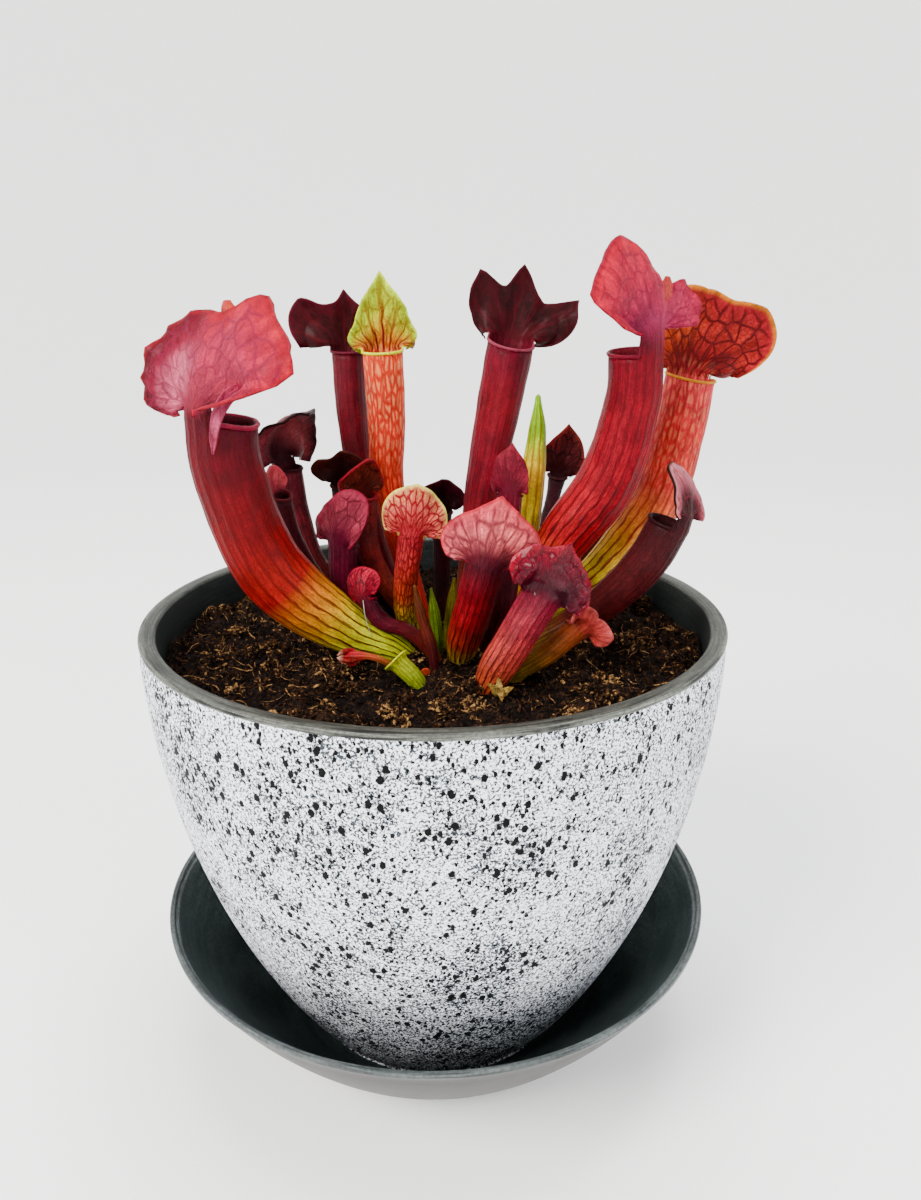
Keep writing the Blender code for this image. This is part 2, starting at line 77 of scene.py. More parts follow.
# Camera: the photograph's size and focal length in pixels, and where it stood
PHOTO_W = 921
PHOTO_H = 1200
PHOTO_FOCUS = 950
SENSOR = 36.0
CAMERA_AT = (9.1, -318.6, 275.6)
CAMERA_DOWN = 18.5

# Studio: the floor's reach and its wall's height, and where the lamps aim. Each lamp: name,
# place, size, power and colour.
FLOOR_R = 2600
FLOOR_WALL_H = 3200
FLOOR_BEND_R = 1500
LAMP_AIM = Vector((0, 0, 150))
LAMPS = (
    ("window", (-1250, -1150, 1500), 1100, 100, (1.0, 0.98, 0.95)),
    ("fill", (1500, -900, 1000), 1500, 22, (0.93, 0.96, 1.0)),
    ("top", (100, 200, 2100), 1300, 52, (1.0, 1.0, 1.0)),
)
SKY = "#e4ecf4"
SKY_POWER = 0.55

# Pot and saucer, turned about Z
POT_Z = 6.0
POT_H = 160.0
POT_BASE_R = 48.0
POT_WALL = 4.0
POT_FLOOR = 5.0
POT_CURVE = (1.97, 1.13)
RIM_R = 100.5
RIM_LIP_W = 5.6
RIM_INNER_R = RIM_R - RIM_LIP_W
RIM_BAND_H = 1.2
RIM_BAND_STEP = 0.5
RECESS_R = 38.0
RECESS_H = 1.6
DRAIN_HOLES = 4
DRAIN_R = 4.0
DRAIN_RING_R = 24.0
SAUCER_R = 100.5
SAUCER_H = 57.0
SAUCER_LIP_W = 2.6
SAUCER_LIP_STEP = 1.6
SAUCER_FOOT_R = 50.0
SAUCER_SEAT_R = 49.5
SAUCER_CURVE = (1.15, 1.25)
SEAT_GAP = 0.35
WALL_STEPS = 36
TURN_STEPS = 200

# Peat: how it lies, and how much of each kind of scrap is on it
RIM_Z = POT_Z + POT_H
SOIL_Z = RIM_Z - 13.0
SOIL_RINGS = 90
SOIL_TURN_STEPS = 280
LUMP_H = 2.4
LUMP_SIZE = 13.0
CLOD_H = 3.4
CLOD_SIZE = 6.5
CROWN = Vector((8, -10, 0))
CROWN_R = 40.0
CRUMBS = 8600
CLUMPS = 230
CLUMP_CRUMBS = 74
CLUMP_R = 4.4
FIBRES = 2000
BATCH = 160

# Leaves: thickness, radius at the root, the keel down the front, and the long veins' number
LEAF = 0.8
STRIP = 0.6
ROOT_R = 1.9
WING = 0.1
RIBS = 18
LINE_STEPS = 12
LIP_RINGS = 70
STALK_RINGS = 48
STRIP_ROWS = 24
STRIP_COLUMNS = 12

# How much deeper and darker a leaf's own colour is than the sunlit one that the tables give
DEPTH = 1.4
SHADE = 0.53

# How wide and how long the net of veins is laid on the tube and on the hood, and how far apart
# the patterns of two leaves start
TUBE_NET = 1.8
TUBE_NET_LONG = 0.6
HOOD_NET = 25.0
HOOD_NET_LONG = 0.55
NET_STEP = 50

# The hood's relief: heights and sizes in mm, and how many ruffles and folds there are
BLISTER_H = 1.5
BLISTER_SIZE = 4.2
BUCKLE_H = 0.9
BUCKLE_SIZE = 9.0
RUFFLE_H = 2.2
RUFFLES = 3.1
FOLD_H = 0.35
FOLDS = 7

# path: the tube's middle line. girth, gape: its radius half way and at the mouth. swell: the
# share of its length over which it widens. faces: where its mouth faces, in degrees.
Tube = namedtuple("Tube", "path girth gape swell faces", defaults=(0.8, -90))

# rise: how far above the mouth the hood starts. arc: how much of the mouth its neck takes, on
# either side of the back. lean, curl: how far it leans forward, and bends on from there. right,
# left: its reach from the tip to the sides. cup: how its sides bend in. wave, waves: the height
# and number of its waves. sweep: how far round its sides go. Angles are in degrees.
Hood = namedtuple("Hood", "rise arc lean curl right left cup wave waves sweep",
                  defaults=(None, (20, 20), 0.8, 3, 90))

# tube: colours from the base to the mouth. edge and lip: the margin's and the rolled lip's.
# veins: in the tube and in the hood. right and left: the hood's colours on either side of its
# midrib, from neck to margin. ribs and net: how strongly the long veins and the net show, in the
# tube and in the hood. fleck: pale windows between the veins near the mouth. puff: how blistered
# the hood's right and left are. roll: the lip's radius. droop: how much lower the front of the
# mouth hangs, and slant: how far its lowest point is turned from the front, in degrees. point:
# from 0 to 1, how pointed the side lobes are.
Look = namedtuple(
    "Look", "tube edge lip veins right left ribs net fleck puff roll skin droop point slant",
    defaults=(None, (0.9, 0.5), (0.3, 0.6), 0.0, (0.3, 0.3), 0.6, "satin", 1.5, 0.0, 0))

LARGE = {
    "pitcher_left_large": (
        Tube(((-2, -12, 144), (-12, -14, 155), (-28, -16, 163), (-53, -19, 185),
              (-65, -20, 219), (-66, -19, 236)), 10.9, 10.8, 0.55, 40),
        Hood(4, 50, 10, 25, (30, 31, 30, 28.5, 27, 25, 21, 13, 6),
             (30, 31, 43, 43, 45, 44, 15, 7, 6), cup=(-25, 15), sweep=120),
        Look("#c8d01c #d8e01c #e8e81c #e0a41c #a82c24 #88181e #741420 #601424 #501024", "#a01838",
             "#94304a", "#5c0c10 #7c2848", "#883048 #e4849c #841c3c #4c0818",
             "#a04054 #b4345a #bc0a3c", ribs=(1.2, 0.5), net=(0.3, 0.7), puff=(1.0, 0.4), roll=0.8,
             droop=4.0, point=1.0, slant=-55),
    ),
    "pitcher_right_tall": (
        Tube(((24, 3, 144), (27, 3, 156), (44, 4, 188), (60, 5, 211), (67, 4, 238), (67, 3, 254)),
             9.8, 8.8, 0.6, 140),
        Hood(7, 50, 5, 20, (22, 33, 34, 36, 12), (22, 14.5, 20.5, 23, 19), cup=(15, -25)),
        Look("#b8c81c #c8b81c #c8681c #b82430 #b01836 #a01434 #88102c #740e2a", "#9c1440",
             "#701830", "#4c0814 #7c2040", "#94385c #cb2d5a #cc0844", "#a04064 #c8446c #b42854",
             ribs=(1.3, 0.5), net=(0.3, 0.7), puff=(0.4, 1.0), roll=0.7, droop=1.0, point=0.8,
             slant=50),
    ),
    "pitcher_right_orange": (
        Tube(((31, 12, 144), (34, 12, 155), (59, 16, 173), (80, 22, 198), (88, 26, 225),
              (91, 27, 244)), 9.4, 8.8, 0.6, -85),
        Hood(2, 65, 8, 15, (29, 29, 35, 31, 20), (29, 31, 25, 20, 14), cup=(20, 50)),
        Look("#c0cc1c #e4dc2c #f4dc40 #e8a048 #e05850 #e44a4c #dc505c", "#d8901c", "#d89830",
             "#841410 #500810", "#901c24 #b83c34 #a81c38", "#901c24 #d86428 #b82c30",
             ribs=(1.3, 1.0), net=(0.25, 1.0), fleck=0.16, puff=(0.5, 0.5), roll=0.5,
             skin="netted"),
    ),
    "pitcher_right_hooked": (
        Tube(((27, -14, 144), (30, -15, 155), (51, -17, 169), (62, -19, 179), (71, -21, 191),
              (76.5, -22, 202.5)), 6.6, 6.6, 0.9, 140),
        Hood(5, 45, 30, 45, (20, 18, 13, 10, 8), cup=(5, 5), wave=0.6, sweep=95),
        Look("#9c9c26 #8c6c24 #6c2c24 #571c1e #4c1a1e #3c1218", "#1c0808", "#180608",
             "#2c0a10 #7c3440", "#180608 #240a0e #b86c78 #d89498",
             "#180608 #240a0e #b06470 #c88088", ribs=(1.0, 0.4), net=(0.6, 0.7), puff=(0.2, 0.2),
             point=0.5, slant=45),
    ),
    "pitcher_back_centre": (
        Tube(((8, 12, 144), (9, 12, 155), (13, 16, 180), (17, 21, 204), (22, 26, 229),
              (27, 29, 256)), 8.2, 8.3, 1.0),
        Hood(2, 75, 2, 10, (25, 18.7, 16.2, 27.5, 24, 18, 9), (25, 17.5, 26.5, 22, 17, 12, 9),
             cup=(12, 12), sweep=105),
        Look("#6c6c20 #80482c #8c2c34 #8c2038 #871b2e #6c1830", "#501424", "#a85468",
             "#4c0f20 #641028", "#480a14 #27050a #380810", ribs=(0.8, 0.6), net=(0.2, 0.15),
             roll=0.5, droop=3.4, point=1.0),
    ),
    "pitcher_back_yellow": (
        Tube(((-1, 7, 144), (-3, 8, 155), (-12, 14, 183), (-17, 18, 208), (-17, 20, 229),
              (-18, 22, 253)), 6.9, 7.0, 1.0),
        Hood(1.5, 95, 2, 5, (25.5, 17, 13, 12.6, 8), cup=(10, 10), sweep=100),
        Look("#cc4c2c #dc4c30 #f85838 #ff5c3c #ff6c40", "#f0f800", "#f4f414", "#901414 #7c100c",
             "#d89010 #ccd400 #b4d000", ribs=(1.3, 1.4), net=(0.5, 0.6), fleck=0.4,
             puff=(0.2, 0.2), roll=0.5, skin="netted", droop=1.2),
    ),
    "pitcher_back_left": (
        Tube(((-7, 14, 144), (-10, 16, 155), (-21, 24, 180), (-27, 30, 203), (-31, 36, 230),
              (-32, 39, 252)), 5.8, 6.0, 1.0, -75),
        Hood(2, 75, 2, 10, (20, 16.5, 15, 14.5, 14, 13, 12), (20, 16, 17.5, 24, 23.5, 21, 17),
             cup=(10, 10)),
        Look("#7c3a34 #782834 #791d2d #641c2c", "#641830", "#642034", "#440f1c #701428",
             "#400a14 #35050e #500c20", ribs=(0.7, 0.6), net=(0.3, 0.2), roll=0.5),
    ),
    "pitcher_front_pink": (
        Tube(((8, -16, 144), (9, -18, 155), (11, -24, 167), (14, -28, 179), (17, -31, 192)), 5.8,
             6.2, 0.45, 90),
        Hood(1, 60, 10, 25, (23, 19, 19, 18, 13), (23, 20, 20, 19, 15), cup=(35, 35)),
        Look("#c8cc1c #c0ac1c #a0401f #981f2c #8c1c2e #5c2230", "#c42c48", "#942c40",
             "#300a12 #6c2838", "#54202c #fc9094 #e85c70", "#50202c #ff9090 #e86474",
             ribs=(1.4, 0.9), net=(0.4, 0.85), puff=(0.5, 0.5), skin="soft", point=0.4),
    ),
    "pitcher_front_glossy": (
        Tube(((16, -40, 144), (18, -42, 155), (26, -42, 170), (34, -41, 184)), 6.0, 6.2, 0.5, 100),
        Hood(1, 60, 10, 30, (19, 16, 18, 17, 12), (19, 17, 18, 16, 12), cup=(40, 40), wave=1.5),
        Look("#b8902c #c4683c #cf5c51 #b44454 #841c40", "#981c40", "#701838", "#4c0f1c #34081c",
             "#440c20 #781434 #9c1438", "#3c0c20 #701434 #901438", ribs=(1.3, 0.5), net=(0.4, 0.7),
             puff=(1.8, 1.8), roll=0.8, skin="glossy"),
    ),
    "pitcher_front_net": (
        Tube(((-5, -3, 144), (-6, -5, 155), (-10, -11, 168), (-9, -15, 183), (-7, -16, 197)), 4.2,
             4.4, 0.9, 90),
        Hood(1, 60, 5, 30, (17, 16, 15, 12, 9), (17, 16, 15, 13, 10), cup=(40, 40)),
        Look("#d4e424 #dce828 #e0d828 #c86434 #c84844 #c83c4c", "#f8f080", "#e8ac68",
             "#5c0c18 #9c0c2c", "#d85058 #fc9080 #fcc488", ribs=(1.5, 1.0), net=(0.9, 1.4),
             puff=(0.5, 0.5), roll=0.5, skin="fine"),
    ),
}

SMALL = {
    "pitcher_left_dark": (
        Tube(((-14, 12, 144), (-20, 15, 155), (-44, 20, 175), (-51, 23, 193), (-54, 24, 212)), 4.9,
             5.2, 0.8, -28),
        Hood(3, 80, -4, 115, (29, 26, 24, 22, 17), (29, 24, 20, 16, 12), sweep=105),
        Look("#9c8428 #84382e #7c3039 #5c202c", "#200a0c", "#300c14", "#280c14 #5c1c28",
             "#300c16 #b85c64 #2c0c14", "#280a12 #a04c58 #2c0c14", net=(0.4, 0.6)),
    ),
    "pitcher_left_small": (
        Tube(((-17, 5, 144), (-24, 7, 156), (-41, 9, 172), (-50, 7, 190), (-53, 4, 206)), 3.0, 3.2,
             0.8, -30),
        Hood(1, 60, 5, 20, (10, 9, 8, 7, 5)),
        Look("#8c7c2c #6c3c28 #54202a #441820", "#c46470", "#4c1820", "#380f18 #9c3444",
             "#b0505c #dc7078 #d45864"),
    ),
    "pitcher_brown": (
        Tube(((-11, 22, 144), (-14, 23, 155), (-26, 22, 170), (-32, 19, 186), (-33, 19, 207)), 4.2,
             4.5),
        Hood(1, 55, 10, 40, (13, 11, 11, 10, 8), (13, 11, 13, 13, 8)),
        Look("#4c3820 #481c18 #401418 #381016", "#4c2018", "#34120f", "#1c0a0c #1c0a0c",
             "#300f0c #3c140f #50241a"),
    ),
    "pitcher_netted": (
        Tube(((-1, 1, 144), (-4, 1, 155), (-15, 3, 170), (-23, 4, 186), (-24, 5, 206)), 4.0, 4.2,
             0.8, -60),
        Hood(1, 60, 10, 50, (15, 12, 10, 9, 7), (15, 13, 12, 11, 8), cup=(20, 30)),
        Look("#8c6c2c #7c3c24 #7c2828 #7a2c2c", "#a02a3c", "#8c2430", "#3c1012 #34100f",
             "#7c3428 #8c4430 #7c2424", "#7c3428 #8c4430 #9c2434", ribs=(0.6, 0.6), net=(0.5, 1.0),
             roll=0.7, skin="netted"),
    ),
    "pitcher_purple": (
        Tube(((-10, -1, 144), (-14, -1, 155), (-26, -2, 167), (-31, -4, 178), (-31, -5, 191)), 4.8,
             5.0, 0.6, 60),
        Hood(1, 60, 0, 10, (17, 13, 11.5, 12, 10), (17, 21, 17, 10, 6), cup=(30, 30)),
        Look("#7c6024 #741c30 #7c1838 #681838 #581830", "#8c2040", "#4c1828", "#380c1c #581428",
             "#5c1834 #984050 #a03c54", "#5c1834 #994555 #a8445c", ribs=(1.0, 0.5), net=(0.4, 0.8),
             puff=(0.5, 0.5)),
    ),
    "pitcher_black": (
        Tube(((0, 21, 144), (1, 23, 155), (2, 28, 170), (2, 31, 194)), 3.6, 4.0, 0.9),
        Hood(1, 65, 10, 40, (13, 11, 11, 10, 7), (13, 12, 12, 10, 7)),
        Look("#4c301c #401420 #380f1c", "#4c1828", "#380f20", "#200810 #200810",
             "#300a16 #3c0f20 #4c1828"),
    ),
    "pitcher_wine": (
        Tube(((12, 2, 144), (14, 1, 155), (20, 1, 170), (25, 1, 188), (26, 1, 207)), 4.0, 4.2, 0.8,
             80),
        Hood(1, 60, 5, 10, (17, 13, 9, 8, 6), (17, 12, 9, 7, 6), cup=(40, 40)),
        Look("#80602c #7c2c2c #7c2038 #742038", "#7c1c34", "#641828", "#44101c #541424",
             "#6c1c34 #84283e #8c2c40"),
    ),
    "pitcher_back_right": (
        Tube(((22, 22, 144), (24, 24, 155), (36, 32, 175), (43, 37, 192), (46, 39, 206)), 2.7, 3.4,
             0.9, -100),
        Hood(1, 60, 5, 10, (19, 15, 12, 10, 6), (19, 13, 11, 9, 6)),
        Look("#5c4420 #4c2c2c #482830 #44242c", "#8a3c2c", "#3c181c", "#2c1014 #28090e",
             "#4c1a1e #5a2024 #6c2a28", "#4c1a1e #5a2024 #8c3438", ribs=(0.4, 0.5), net=(0.3, 1.0),
             roll=0.7, skin="netted"),
    ),
    "pitcher_right_stub": (
        Tube(((37, 20, 144), (40, 22, 155), (54, 27, 172), (62, 32, 184), (67, 36, 195)), 4.0, 4.2,
             0.8, -140),
        Hood(1.5, 50, 10, 10, (6, 6, 6, 6, 6)),
        Look("#6c5c28 #502424 #441824 #3c1422", "#340f18", "#2c0c14", "#200a10 #200a10",
             "#340f18 #3c141c #44181f"),
    ),
    "pitcher_front_dark": (
        Tube(((15, -8, 144), (18, -11, 155), (23, -15, 168), (25, -13, 184)), 4.0, 4.2, 0.8, 90),
        Hood(1, 60, 5, 20, (10, 9, 8, 7, 5)),
        Look("#8c6c28 #682820 #501420 #48101f", "#48101f", "#400f1c", "#280810 #280810",
             "#400f1c #48101f #501424"),
    ),
    "pitcher_front_low": (
        Tube(((23, -34, 144), (27, -35, 155), (37, -36, 163), (46, -35, 171)), 3.5, 3.8, 0.8, 105),
        Hood(1, 60, -10, 10, (6, 8, 9, 8, 6), (6, 8, 9, 9, 7), cup=(-20, -20), wave=1.2, waves=5),
        Look("#8c8c24 #8a7826 #8a5c28 #9c5230", "#c86c68", "#a85048", "#4c2014 #8c2c30",
             "#a84e40 #bc5450 #c46460", ribs=(0.8, 0.9), net=(0.3, 0.5), puff=(0.8, 0.8)),
    ),
    "pitcher_front_curled": (
        Tube(((2, -20, 144), (0, -20, 156), (-8, -19, 164), (-18, -19, 168), (-22, -18, 175)), 2.6,
             2.9, 0.8, 60),
        Hood(2, 50, 10, 60, (12, 12, 11, 9, 6), cup=(60, 60), sweep=95),
        Look("#8c6c28 #7c3424 #5c1828 #50142c", "#a01438", "#7c1430", "#3c0c18 #580c20",
             "#8c1434 #a81840 #b82c50", ribs=(0.9, 0.9), net=(0.5, 1.2), puff=(0.5, 0.5), roll=0.5,
             skin="netted"),
    ),
    "pitcher_cut": (
        Tube(((-2, -38, 144), (-4.5, -38, 153.5), (-12, -36, 161)), 3.2, 4.1, 0.9, 90),
        None,
        Look("#646c1c #8c9c20 #b4b82c", "#d8dc38", "#dce038", "#544410 #4c6c14", "", ribs=(1.1, 0),
             net=(0.5, 0), puff=(0, 0), roll=0.32),
    ),
}

# How finely a leaf is made: columns round the front and the back, rings, and rows of the neck
# and the hood.
Mesh = namedtuple("Mesh", "front back rings neck hood")
LARGE_MESH = Mesh(28, 52, 42, 3, 32)
SMALL_MESH = Mesh(20, 34, 28, 2, 20)

# path and radii: as in the solids. colours: from end to end. vein: its long veins.
Stalk = namedtuple("Stalk", "path radii colours vein")

STALKS = {
    "pitcher_unopened": Stalk(
        ((17, 11, 144), (20, 12, 155), (31, 13, 180), (34, 14, 202), (36, 16, 226), (36, 16, 239)),
        (1.9, 2.2, 3.0, 3.8, 4.3, 4.3, 4.0, 3.0, 0.9),
        "#c0b428 #e8d02c #fcdc30 #ffec34 #ffe83c #f8cc38 #98c414 #94cc10", "#8c3c1c"),
    "flower_bud": Stalk(
        ((-9, -29, 144), (-11, -30, 154), (-19, -32, 160), (-29, -31, 160)),
        (1.3, 1.2, 1.2, 1.2, 1.2, 1.1, 1.1, 1.1, 1.1, 1.6, 1.8, 0.9),
        "#9c9c30 #a49430 #ac8c34 #b48438 #b87840 #b4643c #b02c40 #8c0c28", "#8c2430"),
    "stalk_green": Stalk(
        ((4, -3, 144), (5, -3, 159), (7, -2, 178)),
        (1.5, 1.5, 1.9, 1.7, 0.5),
        "#787c20 #848424 #8c8c28 #908428", "#5c3c18"),
    "stalk_orange": Stalk(
        ((0, -27, 144), (0, -25, 158), (-4, -23, 172), (-6, -23, 182)),
        (1.5, 1.5, 1.9, 1.7, 0.5),
        "#4c1820 #4c1c20 #6c3424 #74502c", "#300c12"),
    "leaf_young": Stalk(
        ((2, -13, 144), (1, -12, 160), (-1, -11, 177)),
        (1.5, 1.5, 2.0, 1.8, 0.5),
        "#4c541c #5c6c1c #687c20 #788c28", "#3c3c14"),
}

# Thin strips of leaf. path and widths: the middle line and its half widths. faces: where the
# strip's cupped side faces. node: what it belongs to.
Strip = namedtuple("Strip", "path widths colours faces node")

STRIPS = {
    "ribbon_left_large": Strip(
        ((-55, -33, 247), (-59, -34, 244), (-63.5, -33.5, 237), (-66, -31.5, 226)),
        (1.2, 2.0, 1.8, 1.3, 0.3), "#b83860 #b8607c #b85c74", -95, "pitcher_left_large"),
    "lobe_left_large": Strip(
        ((-62.0, -21.2, 257.5), (-61.8, -20.8, 262.3), (-61.6, -20.2, 266.5),
         (-61.4, -19.6, 270.4)),
        (3.3, 4.9, 5.2, 4.6, 2.2), "#d45c54 #e07060 #c84c40", 40, "pitcher_left_large"),
    "lobe_right_tall": Strip(
        ((75.6, 1.6, 265), (75.9, 2.2, 269.5), (76.0, 2.6, 273.5), (75.9, 3.2, 277.3)),
        (2.9, 3.8, 4.0, 3.4, 1.8), "#c0404c #cc6058 #b84c44", 140, "pitcher_right_tall"),
    "bract_left": Strip(
        ((21, -48.5, 154), (19.5, -49, 156.5), (17.5, -49.5, 158.5)),
        (1.0, 1.3, 0.8, 0.15), "#4c3c1c #b89c5c #94743c", -60, "pitcher_brown"),
    "bract_right": Strip(
        ((21, -48.5, 154), (23.5, -49, 156), (25.5, -49, 157)),
        (1.0, 1.3, 0.8, 0.15), "#4c3c1c #c0a464 #94743c", -120, "pitcher_brown"),
    "bract_front": Strip(
        ((21, -48.5, 155), (21.5, -51, 155.5), (21.8, -53, 154)),
        (0.9, 1.2, 0.7, 0.15), "#4c3c1c #b09458 #8c6c38", -90, "pitcher_brown"),
    "bract_back": Strip(
        ((21, -48.5, 155), (21, -48, 158), (20.5, -47.5, 160)),
        (0.9, 1.2, 0.7, 0.15), "#4c3c1c #c8ac6c #9c7c44", -90, "pitcher_brown"),
    "bud_petal_top": Strip(
        ((-24, -31.6, 160.8), (-26.5, -31.6, 162.0), (-29, -31.8, 161.9), (-30.8, -32, 160.8)),
        (0.6, 1.1, 0.9, 0.15), "#a04c3c #8c1028 #7c0c20 #e8b8a0", 95, "flower_bud"),
    "bud_petal_front": Strip(
        ((-24, -32.6, 160.0), (-26.5, -33.6, 160.2), (-29, -33.4, 160.4), (-30.8, -32.6, 160.2)),
        (0.6, 1.1, 0.9, 0.15), "#b87058 #980f2c #840c24 #f0c8b0", -95, "flower_bud"),
    "bud_petal_low": Strip(
        ((-24, -32.0, 159.0), (-26.5, -32.8, 158.2), (-28.8, -32.8, 158.4), (-30.4, -32, 159.2)),
        (0.6, 1.0, 0.8, 0.15), "#904030 #7c0c24 #6c0a1c #d89080", -95, "flower_bud"),
    "orange_bit": Strip(
        ((-3.6, -36, 155), (-2.3, -35.8, 156.6), (-0.8, -35.4, 156)),
        (0.5, 1.3, 1.1, 0.3), "#b0482c #c05c38 #a84028", -90, "pitcher_front_curled"),
}

# A thread of dried leaf that hangs from the curled leaf
THREAD_PATH = ((-23.1, -21, 176), (-22.3, -22.6, 170), (-20.4, -22.4, 163.5))
THREAD_RADII = (0.14, 0.14, 0.12, 0.1)

# The leaves' cuticles: name, the net's mesh in mm, its lines' width, roughness, wetness, relief
CUTICLE_KINDS = (
    ("satin", 3.4, 0.14, 0.5, 0.02, 0.35),
    ("netted", 3.2, 0.18, 0.5, 0.02, 0.4),
    ("fine", 2.3, 0.24, 0.48, 0.03, 0.3),
    ("soft", 3.8, 0.24, 0.5, 0.03, 0.3),
    ("glossy", 2.6, 0.14, 0.45, 0.14, 0.9),
)
# How dark the painted shade inside the tubes gets
PAINTED_THROAT_SHADE = 0.85

# A Mix node's sockets for colours: its share, its two colours and the result
SHARE, MIX_A, MIX_B, MIXED = 0, 6, 7, 2
SOFT = {"interpolation_type": "SMOOTHSTEP"}


def mix(a, b, share):
    """The value that lies a share of the way from a to b."""
    return a + (b - a) * share


def ease(share):
    """A share from 0 to 1, with a soft start and a soft end."""
    share = min(max(share, 0), 1)
    return share * share * (3 - 2 * share)


def linear(hex_colour):
    """A colour written as #rrggbb in sRGB, as linear red, green, blue and alpha."""
    parts = [int(hex_colour[i:i + 2], 16) / 255 for i in (1, 3, 5)]
    colour = [part / 12.92 if part <= 0.04045 else ((part + 0.055) / 1.055) ** 2.4
              for part in parts]
    return (*colour, 1.0)


def pigment(hex_colour):
    """A leaf's own colour: deeper and purer than the sunlit one that the tables give."""
    colour = linear(hex_colour)
    most = max(*colour[:3], 1e-6)
    return Vector([SHADE * most * (part / most) ** DEPTH for part in colour[:3]] + [1.0])


def pigments(colours):
    """The leaf's own colours for a row of colours with spaces between them."""
    return [pigment(colour) for colour in colours.split()]


def along(stops, share):
    """The colour at a share of the way along a row of evenly spaced linear colours."""
    step = min(max(share, 0), 0.9999) * (len(stops) - 1)
    return stops[int(step)].lerp(stops[int(step) + 1], step % 1)


def plug_in(node, inputs):
    """Set a node's inputs, in order or by socket: each is a value or another node's output."""
    for socket, value in inputs.items() if isinstance(inputs, dict) else enumerate(inputs):
        if isinstance(value, bpy.types.NodeSocket):
            node.id_data.links.new(value, node.inputs[socket])
        else:
            node.inputs[socket].default_value = value


def add_node(tree, kind, inputs=(), output=0, **settings):
    """Add a shader node with its settings and inputs, and give one of its outputs."""
    node = tree.nodes.new("ShaderNode" + kind)
    for key, value in settings.items():
        setattr(node, key, value)
    plug_in(node, inputs)
    return node.outputs[output]


def new_material(name):
    """A material, what adds a node to it, and its Principled shader."""
    material = bpy.data.materials.new(name)
    material.use_nodes = True
    tree = material.node_tree
    return material, partial(add_node, tree), tree.nodes["Principled BSDF"]


# Materials

